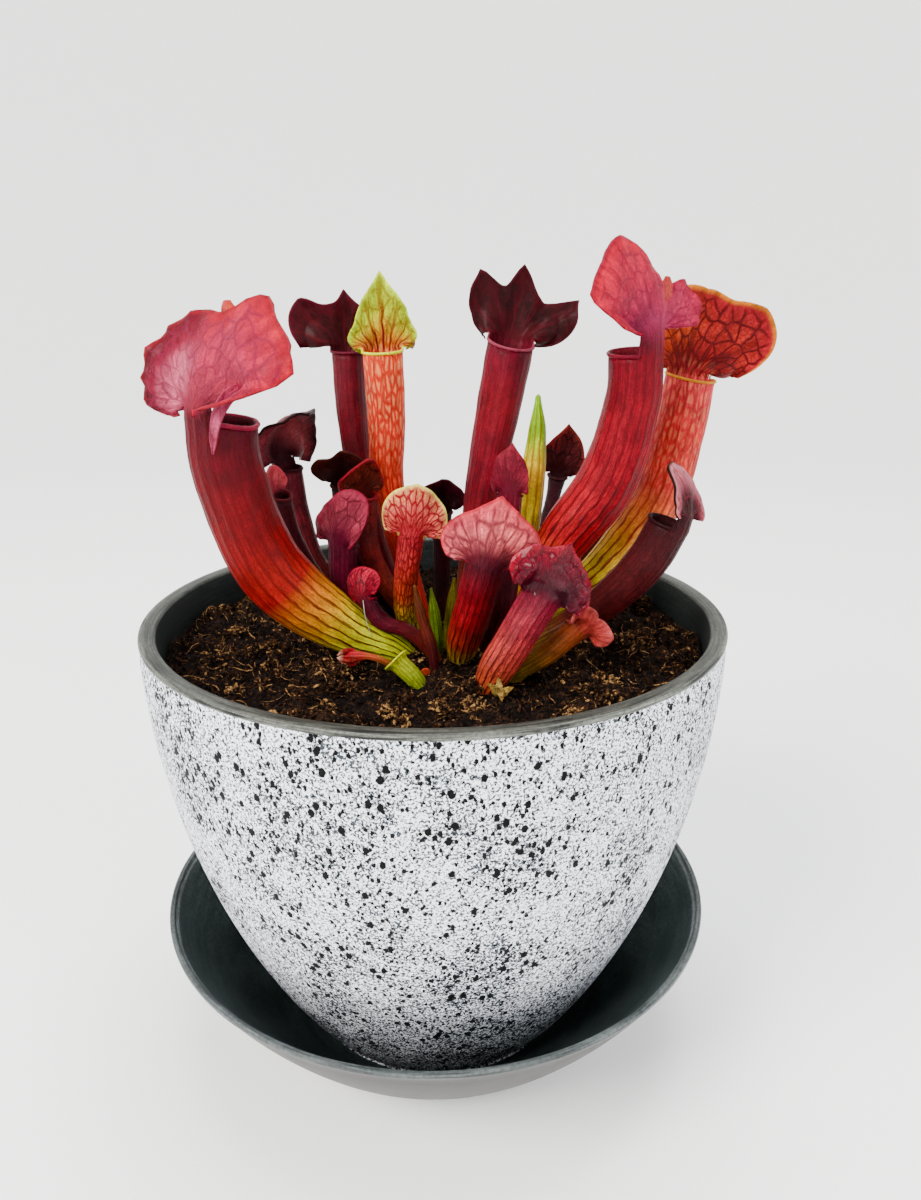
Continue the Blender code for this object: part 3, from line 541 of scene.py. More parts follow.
def leaf_cuticle(name, cell, line, roughness, coat, relief, painted_throat_shade=0.0):
    """A living leaf: a waxy satin cuticle over soft tissue, whose veins stand out and show dark.

    cell is the net's mesh in mm and line its lines' width as a share of that. The skin's colours
    come with the mesh, and the last argument darkens the tube's inside as painted shade.
    """
    material, node, shader = new_material(name)
    skin = node("Attribute", output="Color", attribute_name="skin")
    vein = node("Attribute", output="Color", attribute_name="vein")
    marks = node("Attribute", attribute_name="marks").node.outputs
    shown = node("SeparateXYZ", [marks["Vector"]]).node.outputs
    place = node("UVMap", uv_map="place")
    rib = node("SeparateXYZ", [node("UVMap", uv_map="rib")])
    body = node("TexCoord", output="Object")

    # The net of veins, drawn out of true by a slow drift, with a finer net inside its meshes
    drift = node("TexNoise", {"Vector": place, "Scale": 1 / 4.0, "Detail": 2.0}).node.outputs
    shift = node("VectorMath", (drift["Color"], (1.8, 1.8, 0)), operation="MULTIPLY")
    warped = node("VectorMath", (place, shift), operation="ADD")
    edges = {"voronoi_dimensions": "2D", "feature": "DISTANCE_TO_EDGE"}
    net = node("TexVoronoi", {"Vector": warped, "Scale": 1 / cell}, "Distance", **edges)
    fine = node("TexVoronoi", {"Vector": warped, "Scale": 2.6 / cell}, "Distance", **edges)
    net_line = node("MapRange", (net, 0.01, line, 1.0, 0.0), **SOFT)
    fine_line = node("MapRange", (fine, 0.0, 0.16, 0.5, 0.0), **SOFT)
    nets = node("Math", (net_line, fine_line), operation="MAXIMUM")
    nets = node("Math", (nets, shown["Y"]), operation="MULTIPLY")

    # The long veins, which sway, and grow thin and thick with the leaf's fibres
    sway = node("MapRange", (drift["Fac"], 0.0, 1.0, -0.35, 0.35))
    rib_at = node("Math", (rib, sway), operation="ADD")
    rib_far = node("Math", (rib_at, 0.5), operation="PINGPONG")
    rib_line = node("MapRange", (rib_far, 0.05, 0.22, 1.0, 0.0), **SOFT)
    long_way = node("VectorMath", (place, (1.0, 0.13, 1.0)), operation="MULTIPLY")
    fibres = node("TexNoise", {"Vector": long_way, "Scale": 1 / 1.1, "Detail": 3.0,
                               "Roughness": 0.6})
    thick = node("MapRange", (fibres, 0.35, 0.65, 0.6, 1.1))
    ribs = node("Math", (rib_line, shown["X"]), operation="MULTIPLY")
    ribs = node("Math", (ribs, thick), operation="MULTIPLY")
    lines = node("Math", (nets, ribs), operation="MAXIMUM")

    # The skin's mottles of about 7 mm, its streaks and its grain of about 0.7 mm
    mottle = node("TexNoise", {"Vector": body, "Scale": 1 / (7 * MM), "Detail": 4.0,
                               "Roughness": 0.6})
    grain = node("TexNoise", {"Vector": body, "Scale": 1 / (0.7 * MM), "Detail": 2.0,
                              "Roughness": 0.7})
    tone = node("MapRange", (mottle, 0.3, 0.7, 0.6, 1.3))
    streak = node("MapRange", (fibres, 0.3, 0.7, 0.62, 1.35))
    speck = node("MapRange", (grain, 0.25, 0.75, 0.7, 1.3))
    tone = node("Math", (tone, streak), operation="MULTIPLY")
    tone = node("Math", (tone, speck), operation="MULTIPLY")
    mottled = node("VectorMath", {0: skin, "Scale": tone}, operation="SCALE")

    # Pale windows in the net's meshes, then the veins, then painted shade inside the tube's throat
    window = node("MapRange", (net, 0.12, 0.34, 0.0, 1.0), **SOFT)
    window = node("Math", (window, marks["Alpha"]), operation="MULTIPLY")
    fleck = node("Mix", {SHARE: window, MIX_A: mottled, MIX_B: linear("#d8985c")}, MIXED,
                 data_type="RGBA")
    dark = node("Math", (lines, 0.95), operation="MULTIPLY", use_clamp=True)
    colour = node("Mix", {SHARE: dark, MIX_A: fleck, MIX_B: vein}, MIXED, data_type="RGBA")
    if painted_throat_shade:
        painted_shade = node("Math", (shown["Z"], painted_throat_shade), operation="MULTIPLY")
        colour = node("Mix", {SHARE: painted_shade, MIX_A: colour, MIX_B: linear("#120406")}, MIXED,
                      data_type="RGBA")

    blister = node("MapRange", (fine, 0.0, 0.4, 0.0, 1.0))
    swell = node("Math", (blister, shown["Y"]), operation="MULTIPLY")
    raised = node("Math", (lines, swell), operation="ADD")
    raised = node("Math", (fibres, 0.8, raised), operation="MULTIPLY_ADD")
    height = node("Math", (grain, 0.5, raised), operation="MULTIPLY_ADD")
    bump = node("Bump", {"Height": height, "Strength": 0.7, "Distance": relief * MM})
    rough = node("MapRange", (mottle, 0.3, 0.7, roughness - 0.1, roughness + 0.1))
    plug_in(shader, {"Base Color": colour, "Normal": bump, "Roughness": rough,
                     "Specular IOR Level": 0.05, "Coat Weight": coat, "Coat Roughness": 0.1,
                     "Subsurface Weight": 0.06, "Subsurface Radius": (1.0, 0.3, 0.2),
                     "Subsurface Scale": 0.8 * MM})
    return material


def speckled_paint(name, pale, grey, black, low_z, high_z):
    """Sprayed stone-effect paint: a pale coat with grey grain and slanting black flecks, matt.

    The flecks gather in dark patches, and the coat greys from high_z down to low_z. The real
    grain is finer than a pixel of the photograph, so it is drawn as coarse as it needs to show.
    """
    material, node, shader = new_material(name)
    place = node("TexCoord", output="Object")
    warp = node("TexNoise", {"Vector": place, "Scale": 1 / (0.9 * MM), "Detail": 2.0}, "Color")
    shift = node("VectorMath", {0: warp, "Scale": 1.1 * MM}, operation="SCALE")
    ragged = node("VectorMath", (place, shift), operation="ADD")
    slant = node("Mapping", {"Vector": ragged, "Rotation": (0, math.radians(-35), 0),
                             "Scale": (1, 1, 0.7)})
    gather = node("TexNoise", {"Vector": place, "Scale": 1 / (26 * MM), "Detail": 4.0,
                               "Roughness": 0.7})
    crowd = node("MapRange", (gather, 0.42, 0.68, -0.14, 0.3), **SOFT)
    grain = node("TexNoise", {"Vector": place, "Scale": 1 / (0.75 * MM), "Detail": 2.0,
                              "Roughness": 0.75})
    height = node("SeparateXYZ", [place], "Z")
    # Greyer towards the bottom
    low = node("MapRange", (height, low_z * MM, high_z * MM, 0.05, 0.0))
    start = node("Math", (grain, low), operation="ADD")
    start = node("Math", (crowd, 0.12, start), operation="MULTIPLY_ADD")
    greyed = node("MapRange", (start, 0.46, 0.55, 0.0, 1.0))
    coat = node("Mix", {SHARE: greyed, MIX_A: linear(pale), MIX_B: linear(grey)}, MIXED,
                data_type="RGBA")

    # Small flecks and large ones. spacing: their cells in mm. few: how rare they are. largest:
    # their radius, as a share of the cell.
    dots = []
    for spacing, few, largest in ((1.5, 0.3, 0.42), (2.7, 0.4, 0.42)):
        cells = node("TexVoronoi", {"Vector": slant, "Scale": 1 / (spacing * MM)}).node.outputs
        chance = node("SeparateXYZ", [cells["Color"]])
        lifted = node("Math", (crowd, chance), operation="ADD")
        radius = node("MapRange", (lifted, few, few + 0.45, 0.0, largest))
        inside = node("Math", (radius, cells["Distance"]), operation="SUBTRACT")
        dots.append(node("MapRange", (inside, -0.02, 0.06, 0.0, 1.0)))
    spots = node("Math", dots, operation="MAXIMUM")
    colour = node("Mix", {SHARE: spots, MIX_A: coat, MIX_B: linear(black)}, MIXED,
                  data_type="RGBA")
    depth = node("Math", (spots, -0.8, grain), operation="MULTIPLY_ADD")
    bump = node("Bump", {"Height": depth, "Strength": 0.35, "Distance": 0.25 * MM})
    plug_in(shader, {"Base Color": colour, "Normal": bump, "Roughness": 0.65,
                     "Specular IOR Level": 0.08})
    return material


def bare_rim(name, body, streak, roughness, corner=0.0):
    """Bare moulded body where the paint was wiped off: fine streaks run round the pot.

    corner is the radius in mm of an outer corner made pale in patches: wear and a painted
    highlight.
    """
    material, node, shader = new_material(name)
    place = node("TexCoord", output="Object")
    split = node("SeparateXYZ", [place]).node.outputs
    level = node("CombineXYZ", (split["X"], split["Y"], 0.0))
    radius = node("VectorMath", [level], "Value", operation="LENGTH")
    across = node("Math", (split["Z"], radius), operation="SUBTRACT")
    thin = node("Math", (across, 28.0), operation="MULTIPLY")
    round_place = node("CombineXYZ", (split["X"], split["Y"], thin))
    streaks = node("TexNoise", {"Vector": round_place, "Scale": 1 / (22 * MM), "Detail": 5.0,
                                "Roughness": 0.65})
    grit = node("TexNoise", {"Vector": place, "Scale": 1 / (1.2 * MM), "Detail": 3.0,
                             "Roughness": 0.7})
    worn = node("MapRange", (streaks, 0.38, 0.68, 0.0, 1.0))
    colour = node("Mix", {SHARE: worn, MIX_A: linear(body), MIX_B: linear(streak)}, MIXED,
                  data_type="RGBA")
    if corner:
        # The outer corner goes pale in patches: partly wear, partly a painted highlight on the edge
        worn_and_highlit_edge = node("MapRange", (radius, (corner - 2.2) * MM, corner * MM, 0.0, 1.0))
        worn_and_highlit_edge = node("Math", (worn_and_highlit_edge, worn), operation="MULTIPLY")
        colour = node("Mix", {SHARE: worn_and_highlit_edge, MIX_A: colour, MIX_B: linear("#6e7068")}, MIXED,
                      data_type="RGBA")
    shade = node("MapRange", (grit, 0.3, 0.7, 0.5, 1.5))
    colour = node("VectorMath", {0: colour, "Scale": shade}, operation="SCALE")
    bump = node("Bump", {"Height": grit, "Strength": 0.25, "Distance": 0.15 * MM})
    plug_in(shader, {"Base Color": colour, "Normal": bump, "Roughness": roughness,
                     "Specular IOR Level": 0.15})
    return material


def peat_crumb(name, dark, brown, tan):
    """Moist peat: matt dark brown crumbs of rotted moss, some of them dry and tan."""
    material, node, shader = new_material(name)
    place = node("TexCoord", output="Object")
    tone = node("Attribute", output="Fac", attribute_name="tone")
    patch = node("TexNoise", {"Vector": place, "Scale": 1 / (1.3 * MM), "Detail": 4.0,
                              "Roughness": 0.8})
    pick = node("MapRange", (patch, 0.32, 0.68, -0.5, 0.5))
    # The tone attribute adds random tones and painted light on the clods
    pick = node("Math", (pick, tone), operation="ADD")
    low = node("MapRange", (pick, 0.15, 0.6, 0.0, 1.0))
    high = node("MapRange", (pick, 0.68, 1.0, 0.0, 1.0))
    colour = node("Mix", {SHARE: low, MIX_A: linear(dark), MIX_B: linear(brown)}, MIXED,
                  data_type="RGBA")
    colour = node("Mix", {SHARE: high, MIX_A: colour, MIX_B: linear(tan)}, MIXED,
                  data_type="RGBA")
    fine = node("TexNoise", {"Vector": place, "Scale": 1 / (0.5 * MM), "Detail": 4.0})
    bump = node("Bump", {"Height": fine, "Strength": 0.8, "Distance": 0.5 * MM})
    plug_in(shader, {"Base Color": colour, "Normal": bump, "Roughness": 0.9,
                     "Specular IOR Level": 0.05})
    return material


def pale_floor():
    """A plain pale studio floor, matt."""
    material, node, shader = new_material("matt pale floor")
    place = node("TexCoord", output="Object")
    cloud = node("TexNoise", {"Vector": place, "Scale": 1.5})
    colour = node("Mix", {SHARE: cloud, MIX_A: linear("#fafbfb"), MIX_B: linear("#fbfaf8")},
                  MIXED, data_type="RGBA")
    plug_in(shader, {"Base Color": colour, "Roughness": 0.8})
    return material


# Shapes

def add_object(name, shape, materials):
    """An object in the scene, made from a bmesh, and shaded smooth."""
    mesh = bpy.data.meshes.new(name)
    shape.to_mesh(mesh)
    shape.free()
    mesh.shade_smooth()
    for material in materials:
        mesh.materials.append(material)
    thing = bpy.data.objects.new(name, mesh)
    bpy.context.scene.collection.objects.link(thing)
    return thing


def hand_over(piece, node, slot):
    """The piece stands for a node and rides on the plant's body; slot is not used."""
    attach(piece, "root")
    if node:
        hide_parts(node)


def thicken(sheet, thickness, offset, inner_slot=0):
    """Give a sheet its thickness in mm; its inner side's material is inner_slot slots on."""
    wall = sheet.modifiers.new("leaf thickness", "SOLIDIFY")
    wall.thickness = thickness * MM
    wall.offset = offset
    wall.material_offset = inner_slot


def applied(thing):
    """An object's shape with its modifiers applied, as a bmesh; the object itself goes."""
    graph = bpy.context.evaluated_depsgraph_get()
    solid = bpy.data.meshes.new_from_object(thing.evaluated_get(graph))
    shape = bmesh.new()
    shape.from_mesh(solid)
    bpy.data.meshes.remove(solid)
    bpy.data.objects.remove(thing)
    return shape


def join_shape(shape, other):
    """Add another bmesh's faces to a bmesh, and free the other."""
    spare = bpy.data.meshes.new("spare")
    other.to_mesh(spare)
    other.free()
    shape.from_mesh(spare)
    bpy.data.meshes.remove(spare)


def arc(start, turn, length, distance):
    """How far forward and along a bent line gets in a distance, bending by turn over length."""
    rate = turn / length
    if abs(rate) < 1e-9:
        return math.sin(start) * distance, math.cos(start) * distance
    end = start + rate * distance
    return (math.cos(start) - math.cos(end)) / rate, (math.sin(end) - math.sin(start)) / rate


def smooth_line(points, steps=LINE_STEPS):
    """A smooth line through the points, in short steps."""
    points = [Vector(point) for point in points]
    line = []
    for i, (start, end) in enumerate(zip(points, points[1:])):
        before = points[max(i - 1, 0)]
        after = points[min(i + 2, len(points) - 1)]
        reach = (end - start).length / 3
        leave = start + (end - before).normalized() * reach
        arrive = end - (after - start).normalized() * reach
        line += interpolate_bezier(start, leave, arrive, end, steps)[:-1]
    return line + [points[-1]]


def line_length(line):
    """The length of a line of points."""
    return sum((b - a).length for a, b in zip(line, line[1:]))


def line_frames(line, faces, shares):
    """For each share of a line's length: its point, its direction, and its front and right."""
    travelled = [0.0]
    for a, b in zip(line, line[1:]):
        travelled.append(travelled[-1] + (b - a).length)
    places = []
    i = 1
    for share in shares:
        goal = share * travelled[-1]
        while travelled[i] < goal - 1e-9:
            i += 1
        part = (goal - travelled[i - 1]) / (travelled[i] - travelled[i - 1])
        places.append((line[i - 1].lerp(line[i], part), (line[i] - line[i - 1]).normalized()))
    top = places[-1][1]
    front = Vector((math.cos(math.radians(faces)), math.sin(math.radians(faces)), 0))
    front = (front - top * front.dot(top)).normalized()
    frames = []
    for place, up in reversed(places):
        front = top.rotation_difference(up) @ front
        top = up
        frames.append((place, up, front, up.cross(front)))
    return frames[::-1]


def tube_radius(tube, share):
    """The tube's radius at a share of its length."""
    rise = math.sin(min(share / tube.swell, 1) * math.pi / 2) ** 1.2
    body = mix(tube.girth, tube.gape, ease((share - tube.swell) / max(1 - tube.swell, 0.01)))
    return mix(ROOT_R, body, rise)


def sag(look, share, angle):
    """How far the tube's skin hangs down at an angle round it, in the last 28 % of its length."""
    side = (1 - math.cos(angle - math.radians(look.slant))) / 2
    return look.droop * ease((share - 0.72) / 0.28) * side ** 2


def tube_point(frame, radius, angle, seed, drop=0.0):
    """A point of the tube's skin: a keel runs down its front, and its veins stand out a little."""
    place, up, front, right = frame
    place = place - up * drop
    keel = WING * max(-math.cos(angle), 0) ** 8
    vein = 0.012 * math.cos(angle * RIBS) * min(radius / 4, 1)
    spot = Vector((math.cos(angle), math.sin(angle), place.z / 9 + seed))
    radius *= 1 + keel + vein + 0.03 * noise.noise(spot * 1.3)
    return place - (front * math.cos(angle) + right * math.sin(angle)) * radius


def hood_reach(hood, across, point):
    """How far the hood reaches, from its tip to its sides, where point sharpens its side lobes."""
    reaches = hood.left if across > 0 and hood.left else hood.right
    step = min(abs(across) * (len(reaches) - 1), len(reaches) - 1.001)
    i = int(step)
    share = step % 1
    here, there = reaches[i], reaches[i + 1]
    before = reaches[i - 1] if i else 2 * here - there
    after = reaches[i + 2] if i + 2 < len(reaches) else 2 * there - here
    leave = (there - before) / 2
    arrive = (after - here) / 2
    if not i:
        leave = (there - here) * mix(2, 1, point)
    elif here > max(before, there):
        leave = (there - here) * 2 * point
    elif here < min(before, there):
        leave = 0
    if there > max(here, after):
        arrive = (there - here) * 2 * point
    elif there < min(here, after):
        arrive = 0
    square, cube = share * share, share ** 3
    return ((2 * cube - 3 * square + 1) * here + (cube - 2 * square + share) * leave
            + (3 * square - 2 * cube) * there + (cube - square) * arrive)


def hood_point(tube, hood, look, frame, across, out, seed):
    """A point of the hood: across runs from -1, its right side, to 1, and out from the neck."""
    place, up, front, right = frame
    angle = math.radians(hood.sweep) * across
    span = hood_reach(hood, across, look.point)
    neck = tube.gape * math.radians(hood.arc)
    side = mix(-neck * across, -span * math.sin(angle), out)
    high = span * math.cos(angle) * out
    lean = math.radians(hood.lean)
    curl = math.radians(hood.curl)
    tip = hood.right[0]
    forward, upward = arc(lean, curl if high > 0 else 0, tip, high)
    bend = lean + (curl * high / tip if high > 0 else 0)
    inward = front * math.cos(bend) - up * math.sin(bend)
    wide = hood_reach(hood, -0.75, 0)
    left_share = ease(across * 4 + 0.5)
    cup = math.radians(mix(*hood.cup, left_share))
    turn = mix(wide / tube.gape, cup, ease(out * 1.6))
    sink, aside = arc(0, turn, wide, abs(side))
    aside = math.copysign(aside, side)
    base = place - front * tube.gape
    base += up * hood.rise * math.cos(lean / 2) + front * hood.rise * math.sin(lean / 2)

    grown = ease(out * 2.5)
    spot = Vector((span * out * math.sin(angle), span * out * math.cos(angle), seed * 31))
    ruffle = noise.noise(Vector((angle * RUFFLES * tip / 20, seed * 7, 0)))
    blister = mix(*look.puff, left_share) * abs(noise.noise(spot / BLISTER_SIZE)) * BLISTER_H
    ripple = hood.wave * math.sin(angle * hood.waves) * out * out
    ripple -= blister * grown
    ripple += BUCKLE_H * noise.noise(spot / BUCKLE_SIZE) * grown
    ripple += RUFFLE_H * ruffle * out ** 3 * min(span / 20, 1)
    ripple -= FOLD_H * math.cos(angle * FOLDS) * grown * (1 - out * 0.6)
    return base + up * upward + front * forward + right * aside + inward * (sink + ripple)


def leaf_ring(column, neck, mesh):
    """The angle of a column round the tube, from its back: closer together at the hood's neck."""
    half = mesh.front // 2
    if column < half:
        return mix(-math.pi, -neck, column / half)
    if column > half + mesh.back:
        return mix(neck, math.pi, (column - half - mesh.back) / half)
    return mix(-neck, neck, (column - half) / mesh.back)


def skinned(columns, rows, corner_at):
    """A sheet bent from a flat grid, with a leaf's colours.

    corner_at(column, row) gives a corner's place in mm, its skin and vein colours, how strongly
    its veins, net, painted throat shade and windows show, and where it lies on the net and on
    the ribs. It gives None where the sheet has no corner.
    """
    sheet = bmesh.new()
    bmesh.ops.create_grid(sheet, x_segments=columns, y_segments=rows, size=1)
    colour_layers = [sheet.verts.layers.float_color.new(name) for name in ("skin", "vein", "marks")]
    net_layers = [sheet.loops.layers.uv.new(name) for name in ("place", "rib")]
    spots = {}
    spare = []
    for corner in sheet.verts:
        made = corner_at(round((corner.co.x + 1) / 2 * columns),
                         round((corner.co.y + 1) / 2 * rows))
        if not made:
            spare.append(corner)
            continue
        point, skin, vein, marks, *spots[corner] = made
        corner.co = point * MM
        for layer, colour in zip(colour_layers, (skin, vein, marks)):
            corner[layer] = colour
    for face in sheet.faces:
        for loop in face.loops:
            for layer, spot in zip(net_layers, spots.get(loop.vert, ())):
                loop[layer].uv = spot
    bmesh.ops.delete(sheet, geom=spare, context="VERTS")
    return sheet


def leaf_sheet(tube, hood, look, mesh, seed):
    """A leaf as one sheet with its colours: a tube whose back runs on into the hood."""
    half = mesh.front // 2
    neck = math.radians(hood.arc if hood else 60)
    shares = [i / mesh.rings for i in range(mesh.rings + 1)]
    line = smooth_line(tube.path)
    frames = line_frames(line, tube.faces, shares)
    length = line_length(line)
    tube_stops = pigments(look.tube)
    right, left = [tube_stops[-1:] + pigments(side)
                   for side in (look.right, look.left or look.right)]
    edge = pigment(look.edge)
    veins = pigments(look.veins)
    tube_ribs, hood_ribs = look.ribs
    tube_net, hood_net = look.net

    def on_tube(row, angle):
        share = shares[row]
        radius = tube_radius(tube, share)
        point = tube_point(frames[row], radius, angle, seed, sag(look, share, angle))
        # The third mark is painted shade inside the tube, strongest low down
        marks = (tube_ribs * mix(1, 0.5, ease(share * 1.4 - 0.2)), tube_net * ease(share * 3),
                 ease((1 - share) * 8 + 0.3), look.fleck * ease((share - 0.5) * 3))
        spot = (angle * tube.gape * TUBE_NET + seed * NET_STEP, share * length * TUBE_NET_LONG)
        return point, along(tube_stops, share), veins[0], marks, spot

    def on_hood(row, angle):
        across = angle / neck
        out = max(row - mesh.rings - mesh.neck, 0) / mesh.hood
        share = min((row - mesh.rings) / mesh.neck, 1)
        point = hood_point(tube, hood, look, frames[-1], across, out, seed)
        if share < 1:
            ring = tube_point(frames[-1], tube.gape, angle, seed, sag(look, 1, angle))
            point = ring.lerp(point, share)
        tone = out * 0.8 + share * 0.2
        skin = along(right, tone).lerp(along(left, tone), ease(across * 3 + 0.5))
        skin = skin.lerp(edge, ease((out - 0.93) / 0.06))
        vein = veins[0].lerp(veins[1], ease(share * 0.5 + out * 4))
        fade = 1 - ease((out - 0.85) / 0.12)
        # The third mark is a little painted shade under the hood, near its neck
        marks = (mix(tube_ribs, hood_ribs, share) * (1 - out * 0.6) * fade,
                 mix(tube_net, hood_net, ease(out * 3)) * fade, 0.3 * (1 - out),
                 look.fleck * (1 - ease(out * 4)))
        wide = mix(angle * tube.gape * TUBE_NET, across * HOOD_NET, ease(share / 2 + out * 2))
        reach = hood_reach(hood, across, look.point) * out
        spot = (wide + seed * NET_STEP, length * TUBE_NET_LONG + share + reach * HOOD_NET_LONG)
        return point, skin, vein, marks, spot

    def corner_at(column, row):
        angle = leaf_ring(column, neck, mesh)
        if row > mesh.rings and not half <= column <= half + mesh.back:
            return None
        made = on_tube(row, angle) if row <= mesh.rings else on_hood(row, angle)
        return *made, (angle / ROUND * RIBS, 0)

    rows = mesh.rings + (mesh.neck + mesh.hood if hood else 0)
    sheet = skinned(mesh.front + mesh.back, rows, corner_at)
    bmesh.ops.remove_doubles(sheet, verts=sheet.verts, dist=MERGE)
    return sheet


def rod(line, radii, sides, colours, vein, marks, seed=0, ridge=0.0):
    """A closed rod along a line of points, with a leaf's colours and ridges; its ends draw in."""
    rings = len(radii) + 1
    shares = [0.0] + [mix(0.01, 0.99, i / (rings - 2)) for i in range(rings - 1)] + [1.0]
    frames = line_frames(line, 0, shares)
    length = line_length(line)
    stops = pigments(colours)
    tint = pigment(vein)

    def corner_at(column, row):
        angle = ROUND * column / sides
        radius = radii[row - 1] if 0 < row < rings else 0
        radius *= 1 + ridge * math.cos(angle * 6)
        middle, _, front, right = frames[row]
        point = middle - (front * math.cos(angle) + right * math.sin(angle)) * radius
        spot = (angle * 3 + seed * NET_STEP, shares[row] * length * 0.45)
        return point, along(stops, shares[row]), tint, marks, spot, (angle * 1.6, 0)

    shape = skinned(sides, rings, corner_at)
    bmesh.ops.remove_doubles(shape, verts=shape.verts, dist=MERGE / 4)
    return shape


def lip_line(tube, hood, look, frame, seed):
    """The line that the rolled lip follows: round the mouth's front and up the hood's sides."""
    neck = math.radians(hood.arc) + 0.1 if hood else 0
    turns = [mix(neck, ROUND - neck, i / 24) for i in range(25)]
    ring = [tube_point(frame, tube.gape, turn, seed, sag(look, 1, turn)) for turn in turns]
    if not hood:
        return ring
    ends = [[hood_point(tube, hood, look, frame, across, out, seed)
             for out in (0.06, 0.13, 0.2, 0.26)] for across in (1, -1)]
    return ends[0][::-1] + ring + ends[1]


def pitcher(name, tube, hood, look, mesh, slot, seed):
    """A leaf with its thickness and its rolled lip."""
    # The inner side takes the copy of the cuticle with painted shade in the throat
    skins = (CUTICLES[look.skin], CUTICLES[look.skin + " inside"])
    blade = add_object(name + "_blade", leaf_sheet(tube, hood, look, mesh, seed), skins)
    thicken(blade, LEAF, -1, 1)
    shape = applied(blade)
    mouth = line_frames(smooth_line(tube.path), tube.faces, [0.0, 1.0])[-1]
    line = smooth_line(lip_line(tube, hood, look, mouth, seed), 3)
    radii = []
    for i in range(LIP_RINGS):
        share = abs(2 * i / (LIP_RINGS - 1) - 1)
        end = ease((1 - share) * 3) if hood else 1
        radii.append(look.roll * mix(0.35, 1, end))
    join_shape(shape, rod(line, radii, 8, f"{look.lip} {look.lip}", look.veins.split()[1],
                          (0, 0.2, 0, 0), seed))
    hand_over(add_object(name + "_leaf", shape, skins), name, slot)


def stalk_piece(name, stalk, slot, seed):
    """A closed stalk, bud or spear."""
    radii = []
    for i in range(STALK_RINGS):
        step = i / (STALK_RINGS - 1) * (len(stalk.radii) - 1.001)
        share = step % 1
        here, there = stalk.radii[int(step)], stalk.radii[int(step) + 1]
        radii.append(mix(here, there, mix(share, ease(share), 0.5)))
    shape = rod(smooth_line(stalk.path), radii, 24, stalk.colours, stalk.vein, (0.8, 0.3, 0, 0),
                seed, 0.05)
    hand_over(add_object(name + "_piece", shape, [CUTICLES["satin"]]), name, slot)


def strip_piece(name, strip, slot, seed):
    """A thin cupped strip of leaf along a line, with its thickness."""
    frames = line_frames(smooth_line(strip.path), strip.faces,
                         [i / STRIP_ROWS for i in range(STRIP_ROWS + 1)])
    stops = pigments(strip.colours)

    def corner_at(column, row):
        across = 2 * column / STRIP_COLUMNS - 1
        share = row / STRIP_ROWS
        step = share * (len(strip.widths) - 1.001)
        here, there = strip.widths[int(step)], strip.widths[int(step) + 1]
        wide = mix(here, there, ease(step % 1)) * across
        middle, _, front, right = frames[row]
        rough = noise.noise(Vector((wide / 3, share * 4, seed)))
        point = middle + right * wide + front * (0.25 * abs(wide) * abs(across) + 0.6 * rough)
        spot = (wide + seed * NET_STEP, share * 12)
        return point, along(stops, share), stops[0] * 0.5, (0, 0.6, 0, 0), spot, (0, 0)

    shape = skinned(STRIP_COLUMNS, STRIP_ROWS, corner_at)
    piece = add_object(name, shape, [CUTICLES["satin"]])
    thicken(piece, STRIP, 0)
    hand_over(piece, None, slot)


def bowl_wall(curve, rim, base, steps=WALL_STEPS):
    """Points (radius, height) down a bowl's wall, closer together towards its base."""
    points = []
    for i in range(steps + 1):
        share = math.sin(math.pi / 2 * i / steps)
        stand = (1 - share ** curve[0]) ** (1 / curve[1])
        points.append((mix(base[0], rim[0], stand), mix(rim[1], base[1], share)))
    return points


def softened(points, radius, steps=4):
    """A line of (radius, height) points with its corners rounded off."""
    points = [Vector((a, 0, b)) for a, b in points]
    line = [points[0]]
    for before, corner, after in zip(points, points[1:], points[2:]):
        cut = min(radius, (corner - before).length / 2, (after - corner).length / 2)
        start = corner + (before - corner).normalized() * cut
        end = corner + (after - corner).normalized() * cut
        line += interpolate_bezier(start, start.lerp(corner, 0.55), end.lerp(corner, 0.55), end,
                                   steps)
    return [(point.x, point.z) for point in line + [points[-1]]]


def turned(profile, steps=TURN_STEPS):
    """A solid turned about Z from its profile of (radius, height) points."""
    shape = bmesh.new()
    corners = [shape.verts.new(Vector((radius, 0, height)) * MM) for radius, height in profile]
    edges = [shape.edges.new(pair) for pair in zip(corners, corners[1:])]
    bmesh.ops.spin(shape, geom=corners + edges, axis=(0, 0, 1), cent=(0, 0, 0), angle=ROUND,
                   steps=steps, use_merge=True)
    bmesh.ops.remove_doubles(shape, verts=shape.verts, dist=MERGE)
    bmesh.ops.recalc_face_normals(shape, faces=shape.faces)
    return shape


def finish_turned(name, shape, materials, zone):
    """An object from a turned shape; zone(radius, height, outward) gives each face's material."""
    for face in shape.faces:
        middle = face.calc_center_median() / MM
        outward = face.normal.xy.dot(middle.xy) > 0
        face.material_index = zone(middle.xy.length, middle.z, outward)
    return add_object(name, shape, materials)


def drilled(bowl):
    """The pot's shape with its drain holes."""
    drills = bpy.data.collections.new("drills")
    for i in range(DRAIN_HOLES):
        turn = ROUND * (i + 0.5) / DRAIN_HOLES
        place = Vector((math.cos(turn) * DRAIN_RING_R, math.sin(turn) * DRAIN_RING_R,
                        POT_Z + POT_FLOOR / 2))
        drill = bmesh.new()
        bmesh.ops.create_cone(drill, cap_ends=True, segments=32, radius1=DRAIN_R * MM,
                              radius2=DRAIN_R * MM, depth=POT_FLOOR * 2 * MM,
                              matrix=Matrix.Translation(place * MM))
        drills.objects.link(add_object("drill", drill, []))
    cut = bowl.modifiers.new("drain holes", "BOOLEAN")
    cut.operand_type = "COLLECTION"
    cut.collection = drills
    shape = applied(bowl)
    for drill in list(drills.objects):
        bpy.data.objects.remove(drill)
    bpy.data.collections.remove(drills)
    shape.normal_update()
    return shape


